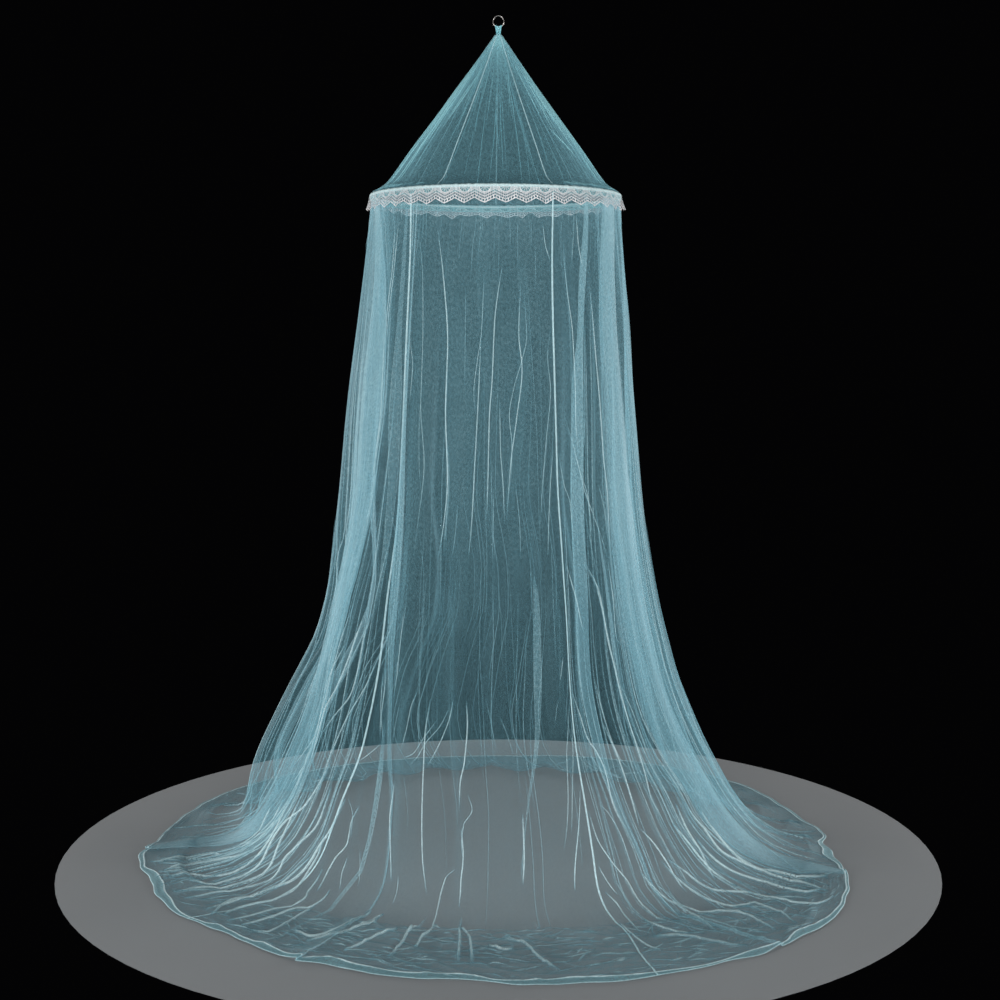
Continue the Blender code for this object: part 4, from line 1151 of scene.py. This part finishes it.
def rumples(angle, radius, down):
    """Crumpled cloth on the floor, 0 to 1: ridges that run round the canopy, each a sharpened
    upturned sine with its own spacing and slant, bent by slower waves and shown in patches."""
    draw = np.random.default_rng(77)
    along = np.radians(apart(angle, 0.0)) * 0.8
    total = np.zeros_like(radius)
    for _ in range(9):
        slant, spacing = draw.normal(0, 0.5), draw.uniform(0.040, 0.080)
        slow, quick, patch, wide = draw.uniform((0.09, 0.03, 0.05, 0.03), (0.22, 0.06, 0.14, 0.09))
        p = draw.uniform(0, 2 * math.pi, 5)
        across = radius + slant * along + 0.014 * np.sin(along / slow + p[0])
        across = across + 0.004 * np.sin(along / quick + p[1])
        ridge = (1.0 - np.abs(np.sin(math.pi * across / spacing + p[2]))) ** 2
        shown = np.clip(0.35 + np.sin(along / patch + p[3]) * np.sin(radius / wide + p[4]), 0, 1)
        total = np.maximum(total, ridge * shown * draw.uniform(0.5, 1.0))
    lying = 0.0
    for pool_angle, spread, share in LYING_POOLS:
        lying = lying + share * np.exp(-((apart(angle, pool_angle) / spread) ** 4))
    return total * lying * smooth_read(down, (0, 0.975, 1.06, 1.9, 2), (0.0, 0.0, 1.0, 0.9, 0.1))


def hung_cloth(angle, down, lift=0.0):
    """Points of the wall at any angles and places down it, moved square to the cloth by lift. Soft
    folds draw it in towards the axis and stand up as ridges where it lies; small gathers fade out
    below the casing, and the lying cloth is crumpled. It stays just clear of the floor. The sides
    lean by SIDE_LEAN, in proportion to the sine's fourth power."""
    height, out, up = (level_read(down, column) for column in (HEIGHT, OUT, UP))
    radius = plan_radius(angle, down)
    known = fixed_lines(down)
    turned = known[0] + np.mod(angle - known[0], 360.0)
    fold_angle = shared_out(turned, known, FIXED_FOLD)
    valley, depth = soft_folds(fold_angle)
    depth = depth * (1.0 + 0.10 * ripple(angle, 5, 20, 60, 45))
    drawn_in = valley * depth * smooth_read(down, *np.array(FOLD_GROWTH).T)
    ridge = (1.0 - valley) * depth * FOLD_ON_FLOOR * smooth_read(down, *np.array(FOLD_RIDGE).T)
    fade = np.exp(-(WALL_TOP - height) / GATHER_REACH)
    gathers = GATHER_HEIGHT * ripple(angle, 9, 70, 170, 42) * fade
    lift = lift + gathers + RUMPLE_HEIGHT * rumples(angle, radius, down)
    clear = height + up * lift + ridge - LEAST_HEIGHT
    level = LEAST_HEIGHT + 0.5 * (clear + np.sqrt(clear ** 2 + FLOOR_ROUNDING))
    points = at_point(angle, radius + out * lift - drawn_in, level)
    points[..., 0] -= smooth_read(down, *np.array(SIDE_LEAN).T) * np.sin(np.radians(angle)) ** 4
    return points


WIDE = np.array([-1.0, -0.93, -0.80, 0.0, 0.80, 0.93, 1.0])
WIDE_MARKS = np.array([0.0, 1.5, 1.0, 0.9, 1.0, 1.5, 0.0])
SAMPLES = 30
CRUMPLE_SAMPLES = 12
FOLDS_END, STREAKS_END = 1.97, 1.7     # how far down they may run
STREAK_RISE, STRIP_RISE = 0.0010, 0.0012
CRUMPLE_LENGTHS = (0.02, 0.11)
CRUMPLE_HALVES = (0.0009, 0.0018)
CRUMPLE_RISES = (0.0005, 0.004)
POOL_WIDTH = 0.2                       # from landing to the hem, about
along_line = np.linspace(0.0, 1.0, SAMPLES)[None, :]


def joined(groups):
    """Groups of folds as one. A group is how far down, angle, half width, rise and density,
    each spread to the same shape: lines by samples."""
    spread = (np.broadcast_arrays(*group) for group in groups)
    return tuple(np.concatenate(part) for part in zip(*spread))


def drawn_folds():
    """The folds with tracks of their own, as curves through their points. Where they lie on the floor
    they are made denser, and so paler, as a painted highlight.
    """
    curves, sizes = [], []
    for half, rise, extra, *track in DRAWN_FOLDS:
        down, angle = np.array(track, float).reshape(-1, 2).T
        down = down / 1000
        metres = np.diff(level_read(down, LENGTH))
        steps = np.hypot(metres, np.radians(np.diff(angle)) * level_read(down[1:], RADIUS))
        way = np.concatenate([[0], np.cumsum(steps)])
        place = along_line[0] * way[-1]
        curves.append((smooth_read(place, way, down), smooth_read(place, way, angle)))
        sizes.append((half, rise, extra))
    down, angle = np.swapaxes(curves, 0, 1)
    half, rise, extra = np.array(sizes, float).T[..., None]
    # painted highlight: a fold grows up to 1.4 times denser, and so paler, as it comes onto the floor,
    # standing in for light the lying cloth barely gets
    shown = FOLD_DENSITY * extra * ends_fade(along_line) * np.interp(down, (0.9, 1.05), (1.0, 1.4))
    return down, angle, 0.001 * half * (1.3 + 0.4 * down), 0.001 * rise, shown


def fine_folds():
    """Seeded folds that keep to the cloth's own flow between the pleats and the seams, bent a
    little as they go down."""
    draw = np.random.default_rng(41)
    parts = []
    for count, between, starts, lengths, extras in FINE_FOLDS:
        low, high = np.array([between, starts, lengths, extras, (0.8, 1.3)]).T
        first, start, reach, extra, half = draw.uniform(low, high, (count, 5)).T[..., None]
        end = np.minimum(start + reach, FOLDS_END)
        down = start + (end - start) * along_line
        bend = draw.normal(0, 1.0, (count, 3, 1)) * np.minimum(1.0, 3.0 * (end - start))[:, None]
        phase = draw.uniform(0, 2 * math.pi, (count, 2, 1))
        course = first + bend[:, 0] * (2 * along_line - 1)
        course = course + 0.7 * bend[:, 1] * np.sin(3 * along_line + phase[:, 0])
        course = course + 0.3 * bend[:, 2] * np.sin(8 * along_line + phase[:, 1])
        turned = FIXED_FOLD[0] + np.mod(course - FIXED_FOLD[0], 360.0)
        angle = shared_out(turned, FIXED_FOLD, fixed_lines(down))
        shown = FOLD_DENSITY * extra * ends_fade(along_line)
        parts.append((down, angle, 0.001 * half * (1.1 + 0.4 * down), 0.0012 + 0.0020 * down, shown))
    return joined(parts)


def pleat_streaks():
    """Seeded folds that run down inside the flat pleats, each at its own share of the width."""
    draw = np.random.default_rng(83)
    parts = []
    for pleat, count in PLEAT_STREAKS:
        share, start, reach, extra, half = draw.uniform(*STREAK_RANGES, (count, 5)).T[..., None]
        down = start + np.minimum(reach, STREAKS_END - start) * along_line
        drift = draw.normal(0, 0.06, (count, 1)) * (2 * along_line - 1)
        width = track_read(down, PLEATS[pleat], 2) / level_read(down, RADIUS)
        angle = track_read(down, PLEATS[pleat]) + np.degrees(np.clip(share + drift, -0.5, 0.5) * width)
        shown = FOLD_DENSITY * extra * ends_fade(along_line)
        parts.append((down, angle, 0.001 * half, STREAK_RISE, shown))
    return joined(parts)


def crumple_folds():
    """Seeded short folds that lie about on the floor: bent, and mostly along the hem."""
    draw = np.random.default_rng(52)
    way = np.linspace(0.0, 1.0, CRUMPLE_SAMPLES)[None, :]
    parts = []
    for count, middle, spread, extras in CRUMPLES:
        at_angle = middle + spread * draw.uniform(-1, 1, (count, 1))
        at_down = draw.uniform(1.02, 1.95, (count, 1))
        length = draw.uniform(*CRUMPLE_LENGTHS, (count, 1))
        heading = draw.normal(0, 0.30, (count, 1)) + draw.normal(0, 0.8, (count, 1)) * (way - 0.5)
        sideways = (np.cumsum(np.cos(heading), axis=1) / CRUMPLE_SAMPLES - 0.5) * length
        outward = (np.cumsum(np.sin(heading), axis=1) / CRUMPLE_SAMPLES) * length
        down = at_down + outward / POOL_WIDTH
        angle = at_angle + np.degrees(sideways / plan_radius(at_angle, at_down))
        half = draw.uniform(*CRUMPLE_HALVES, (count, 1))
        rise = draw.uniform(*CRUMPLE_RISES, (count, 1)) * ends_fade(way, 0.4)
        shown = FOLD_DENSITY * draw.uniform(*extras, (count, 1)) * ends_fade(way, 0.4)
        lying = (down.min(axis=1) > 0.995) & (down.max(axis=1) < 1.975)
        parts.append(tuple(part[lying] for part in (down, angle, half, rise, shown)))
    return joined(parts)


def strip_folds():
    """The wide strips, where the net lies folded flat in more layers."""
    parts = []
    for extra, track in STRIPS:
        start, end = track[0][0], track[-1][0]
        down = start + (end - start) * along_line
        half = 0.5 * track_read(down, track, 2)
        shown = extra * ends_fade(along_line, 0.06)
        parts.append((down, track_read(down, track), half, STRIP_RISE, shown))
    return joined(parts)


fold_groups = (
    (joined([drawn_folds(), fine_folds(), pleat_streaks()]), THIN, THIN_MARKS),
    (crumple_folds(), THIN, THIN_MARKS),
    (strip_folds(), WIDE, WIDE_MARKS),
)


def run_along(points, axis=0):
    """Length from the first point to each one, along a line or along one axis of a grid."""
    run = np.cumsum(np.linalg.norm(np.diff(points, axis=axis), axis=-1), axis=axis)
    return np.concatenate([0 * np.take(run, [0], axis), run], axis=axis)


def pleat_path(columns):
    """Across a flat pleat: share of its width, layers deep, and a mark on its two turns. The cloth
    runs right across, turns back under itself, and runs right again."""
    v = np.linspace(0, 1, columns)
    share = (1 - np.cos(3 * math.pi * v)) / 2
    first, second = (np.clip((v - start) / 0.17, 0, 1) for start in (0.25, 0.58))
    layers = first ** 2 * (3 - 2 * first) + second ** 2 * (3 - 2 * second)
    turned = np.exp(-(((v - 1 / 3) / 0.045) ** 2)) + np.exp(-(((v - 2 / 3) / 0.045) ** 2))
    return share[None, :], layers[None, :], turned[None, :]


def panel_columns(down, left, right, pleats, spacings):
    """A panel's grid columns between its two seams: angle, depth of the layers, extra density and
    how near a pleat is. Columns follow the pleats, and the runs between them are shared out
    evenly; spacings are the angles from which a run has a new step."""
    rows = level_read(down, RADIUS)
    lines = [(left, None), (right, None)]
    lines += [(np.full_like(left, start_angle), None) for start_angle, step in spacings[1:]]
    for pleat in pleats:
        middle, width = track_read(down, PLEATS[pleat]), track_read(down, PLEATS[pleat], 2)
        lines.append((middle + (360.0 if middle.mean() < left.mean() - 5 else 0.0), width))
    lines.sort(key=lambda line: line[0].mean())
    share_path, layers_path, turned_path = pleat_path(PLEAT_COLUMNS)
    columns = []
    for middle, width in lines:
        if width is None:
            angle = middle
            layer = mark = pleated = np.zeros_like(angle)
        else:
            angle = middle + np.degrees((share_path - 0.5) * width / rows)
            layer = -layers_path * PLEAT_LAYER + 0 * angle
            mark = PLEAT_DENSITY + PLEAT_EDGE_DENSITY * turned_path + 0 * angle
            pleated = np.ones_like(angle)
        if columns:
            start, last_layer, last_mark, last_near = (part[:, -1:] for part in columns[-1])
            stop = angle[:, :1]
            run_middle = float(np.mean(start + stop)) / 2
            step = [size for from_angle, size in spacings if from_angle <= run_middle][-1]
            count = max(1, int(round(float(np.mean(stop - start)) / step)))
            between = start + (stop - start) * (np.arange(1, count + 1) / (count + 1))[None, :]
            beyond = np.clip(1 - np.radians(between - start) * rows / PLEAT_RUNOUT, 0, 1)
            before = np.clip(1 - np.radians(stop - between) * rows / PLEAT_RUNOUT, 0, 1)
            near = np.maximum(last_near * beyond, pleated[:, :1] * before)
            columns.append((between, last_layer * beyond, np.zeros_like(between), near))
        columns.append((angle, layer, mark, pleated))
    return tuple(np.concatenate(part, axis=1) for part in zip(*columns))


def panel_folds(in_front):
    """The pinched folds whose middles lie between the two seams in front, or all the others."""
    strips = []
    for group, across_strip, marks in fold_groups:
        half_way = group[0].shape[1] // 2
        middle_down, middle_angle = group[0][:, half_way], group[1][:, half_way]
        seam = track_read(middle_down, SEAM_LEFT)
        turned = seam + np.mod(middle_angle - seam, 360.0)
        mine = (turned < track_read(middle_down, SEAM_RIGHT)) == in_front
        down, angle, half, rise, shown = (part[mine] for part in group)
        course = (down, angle, plan_radius(angle, down), half, rise, shown)
        metres = level_read(down, RATE)
        strips.append(pinched_folds(hung_cloth, metres, *course, across_strip, marks, 1.995))
    return strips


def wall_panel(name, left_line, right_line, pleats, spacings, turn):
    """One panel between two seams, the second of them a turn further on. Its grid's rows are
    closer together near the floor. The layers of its pleats close up at the seams."""
    lengths = LEVEL_TABLE[LENGTH]
    by_length = lengths[HANGING_LEVELS - 1] * (1.0 - (1.0 - np.linspace(0, 1, WALL_ROWS)) ** 1.2)
    hanging = np.interp(by_length, lengths, LEVEL_TABLE[DOWN])
    down = np.concatenate([hanging, 1 + np.linspace(0, 1, FLOOR_ROWS + 1)[1:]])[:, None]
    left, right = track_read(down, left_line), track_read(down, right_line) + turn
    angle, stack, dense, near = panel_columns(down, left, right, pleats, spacings)
    seam_distance = np.radians(np.minimum(angle - left, right - angle)) * level_read(down, RADIUS)
    down = down + 0 * angle
    at_seams = np.clip(seam_distance / SEAM_EASE, 0, 1)
    lift = (stack + 2 * PLEAT_LAYER * level_read(down, UP) ** 2 * near) * at_seams
    points = hung_cloth(angle, down, lift)
    crumpled = rumples(angle, plan_radius(angle, down), down)
    dense = WALL_DENSITY + dense + RUMPLE_DENSITY * crumpled + TOP_DENSITY * np.exp(-down / TOP_REACH)
    dense = dense * (1.0 + STREAK_DENSITY * ripple(angle, 9, 90, 260, 44))
    dense = dense * smooth_read(down, *np.array(SPREAD_OUT).T)
    uv = together(run_along(points, 1), run_along(points[:, 0])[:, None])
    strips = panel_folds(turn == 0.0)
    return grid_piece(name, points, net, "net", uv=uv, strips=strips, dense=dense), points, angle


front, front_points, front_angle = wall_panel(
    "wall_front_net", SEAM_LEFT, SEAM_RIGHT, ["front_left"], ((-90, 0.34),), 0.0
)
main, main_points, main_angle = wall_panel(
    "wall_main_net",
    SEAM_RIGHT,
    SEAM_LEFT,
    ["front_right", "right", "left"],
    ((0, 0.50), (104, 1.3), (256, 0.50)),
    360.0,
)
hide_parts("wall_front_panel")
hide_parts("wall_main_panel")

# ------------------------------------------------------------
# Seam tapes: a narrow bound strip over each of the two long seams, from the casing to the hem.
# ------------------------------------------------------------
TAPE_WIDTH = 0.0042
TAPE_LIFT, TAPE_CROWN = 0.0012, 0.0006
TAPE_DENSITY = 3.0


def ribbon(name, path, outward, half, crown, rows, finish, **marks):
    """A strip carried along a path: rows of points across it, square to the path and to outward,
    raised by crown in its middle."""
    along = np.gradient(path, axis=0)
    along /= np.linalg.norm(along, axis=1, keepdims=True)
    across = np.cross(along, outward)
    across /= np.linalg.norm(across, axis=1, keepdims=True)
    place = np.linspace(-1, 1, rows)[None, :, None]
    points = path[:, None] + across[:, None] * place * np.asarray(half).reshape(-1, 1, 1)
    points = points + outward[:, None] * crown * (1 - place ** 2)
    uv = together(place[..., 0] * np.mean(half), run_along(path)[:, None])
    return grid_piece(name, points, finish, "net_folded", uv=uv, **marks)


for side_name, edge_points, next_points in (
    ("left", front_points[:, 0], front_points[:, 3]),
    ("right", main_points[:, 0], main_points[:, 3]),
):
    down_way = np.gradient(edge_points, axis=0)
    outward = np.cross(down_way, next_points - edge_points)
    outward /= np.linalg.norm(outward, axis=1, keepdims=True)
    path = edge_points + outward * TAPE_LIFT
    course = (path[::-1], outward[::-1], TAPE_WIDTH / 2, TAPE_CROWN)
    tape = ribbon(f"seam_tape_{side_name}_net", *course, 5, bound_net, dense=TAPE_DENSITY)
    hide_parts(f"seam_tape_{side_name}")

# ------------------------------------------------------------
# Hem: the wall's lower edge turned up and sewn, so that it shows as a band with a bright line of
# stitching along its inner side. It rolls over in places, where the band is wider.
# ------------------------------------------------------------
HEM_LIFT = 0.0012
HEM_STITCH = 0.0045
# the hem's nine rows, from its edge to its inner side: share of the lift, and density
HEM_LIFTS = (0.2, 1.0, 1.2, 1.0, 1.0, 1.6, 2.0, 1.4, 0.5)
HEM_DENSITIES = (3.2, 2.0, 0.8, 0.5, 0.8, 3.4, 4.8, 3.4, 0.8)
HEM_BAND = (  # angle, width
    (-180, 0.012), (-150, 0.014), (-120, 0.012), (-92, 0.009), (-86, 0.018), (-79, 0.015), (-76, 0.026),
    (-69, 0.031), (-60, 0.021), (-53, 0.011), (-50, 0.012), (-47.5, 0.028), (-45, 0.018),
    (-38.5, 0.015), (-36.5, 0.025), (-30, 0.018), (-25, 0.030), (-20, 0.026), (-17, 0.026),
    (-12, 0.024), (-8, 0.026), (-3, 0.018), (0, 0.011), (3, 0.020), (9, 0.026), (17, 0.021),
    (26, 0.012), (32, 0.008), (38, 0.027), (42, 0.010), (49, 0.024), (56, 0.017), (63, 0.012),
    (72, 0.011), (79, 0.012), (84, 0.030), (90, 0.018), (95, 0.011), (110, 0.014), (140, 0.012),
)


def back_from_edge(grid, distance):
    """Points of a panel at distances up the cloth from its hem, along each grid column: linear
    between the grid's lying rows, which are evenly spaced."""
    step = np.linalg.norm(grid[-1] - grid[-FLOOR_ROWS], axis=1) / (FLOOR_ROWS - 1)
    place = np.clip(distance / step[None, :], 0, FLOOR_ROWS - 2)
    row = place.astype(int)
    share = (place - row)[..., None]
    columns = np.arange(grid.shape[1])[None, :]
    nearer, further = grid[len(grid) - 1 - row, columns], grid[len(grid) - 2 - row, columns]
    return nearer * (1 - share) + further * share


hem_net = net_finish("net_hem", 0.26, (0.30, 0.66, 0.74), (0.78, 0.96, 0.99), 0.35)
for hem_name, grid, angle in (("front", front_points, front_angle), ("main", main_points, main_angle)):
    band = round_read(angle[-1], HEM_BAND)[None, :]
    from_edge = np.array([0.0, 0.0012, 0.0030])[:, None] + 0 * band
    inner = np.array([HEM_STITCH, HEM_STITCH * 0.7, HEM_STITCH * 0.35, 0.0, -0.0008])[:, None]
    distance = np.concatenate([from_edge, band * 0.42, band - inner])
    hem_points = back_from_edge(grid, distance)
    hem_points[..., 2] += np.array(HEM_LIFTS)[:, None] * HEM_LIFT
    hem_uv = together(run_along(grid[-1])[None, :], -distance)[::-1]
    dense = np.array(HEM_DENSITIES)[::-1, None]
    hem = grid_piece(f"hem_{hem_name}", hem_points[::-1], hem_net, "net_folded", uv=hem_uv, dense=dense)

# ------------------------------------------------------------
# Studio: a plain pale floor, soft lights and the camera.
# ------------------------------------------------------------
FLOOR_RADIUS = 1.08
FLOOR_CLEARANCE = 0.0012
floor_finish = Finish("pale_floor")
floor_grain = floor_finish.noise(floor_finish.place(), 3.0, 4.0)
floor_colour = floor_finish.mix(floor_grain, (0.36, 0.37, 0.38), (0.39, 0.40, 0.41))
floor_turn = np.linspace(0, 2 * math.pi, 96, endpoint=False)[None, :]
floor_reach = np.array([0.001, 0.5, 1.0, FLOOR_RADIUS])[:, None]
floor_x, floor_y = floor_reach * np.sin(floor_turn), -floor_reach * np.cos(floor_turn)
floor_points = together(floor_x, floor_y, -HOOK_HEIGHT - FLOOR_CLEARANCE)
index = np.arange(floor_x.size).reshape(floor_x.shape)
index = np.concatenate([index, index[:, :1]], axis=1)
floor_faces = np.stack([index[:-1, :-1], index[1:, :-1], index[1:, 1:], index[:-1, 1:]], axis=-1)
floor_mesh = bpy.data.meshes.new("floor")
floor_mesh.from_pydata(floor_points.reshape(-1, 3).tolist(), [], floor_faces.reshape(-1, 4).tolist())
floor_mesh.materials.append(floor_finish.surface(Base_Color=floor_colour, Roughness=0.85))
floor = in_scene("floor", floor_mesh)

world = bpy.data.worlds.new("studio")
world.use_nodes = True
world_inputs = world.node_tree.nodes["Background"].inputs
world_inputs["Color"].default_value = (0.0010, 0.0010, 0.0012, 1.0)
world_inputs["Strength"].default_value = 1.0
bpy.context.scene.world = world


def soft_light(name, place, target, size, power):
    """A square area light that faces its target."""
    data = bpy.data.lights.new(name, "AREA")
    data.shape = "SQUARE"
    data.size = size
    data.energy = power
    light = in_scene(name, data)
    way = np.array(target, float) - np.array(place, float)
    way /= np.linalg.norm(way)
    yaw = math.atan2(-way[0], way[1])
    light.rotation_euler = (math.acos(-way[2]), 0.0, yaw)
    light.location = place


LIGHTS = (  # name, place, height of what it faces on the axis, size, power
    ("key", (-3.0, -3.2, -1.50), -1.0, 2.0, 146),
    ("fill", (3.2, -2.8, -1.50), -1.0, 2.0, 124),
    ("back_left", (-2.8, 2.6, -1.2), -1.0, 1.6, 50),
    ("back_right", (2.8, 2.6, -1.2), -1.0, 1.6, 50),
    ("roof_front", (0.0, -1.9, 0.10), -0.20, 0.8, 9),
)
for light_name, light_place, facing, light_size, power in LIGHTS:
    soft_light(light_name, light_place, (0.0, 0.0, facing), light_size, power)

CAMERA_PITCH = 5.8
CAMERA_PLACE = (0.0038, -3.93, 1.277 - HOOK_HEIGHT)
lens = bpy.data.cameras.new("camera")
lens.lens = 57.6
lens.sensor_width = 36.0
camera = in_scene("camera", lens)
camera.location = CAMERA_PLACE
camera.rotation_euler = (math.radians(90.0 - CAMERA_PITCH), 0.0, 0.0)
bpy.context.scene.camera = camera
bpy.context.scene.cycles.transparent_max_bounces = 48
bpy.context.scene.view_settings.view_transform = "Standard"
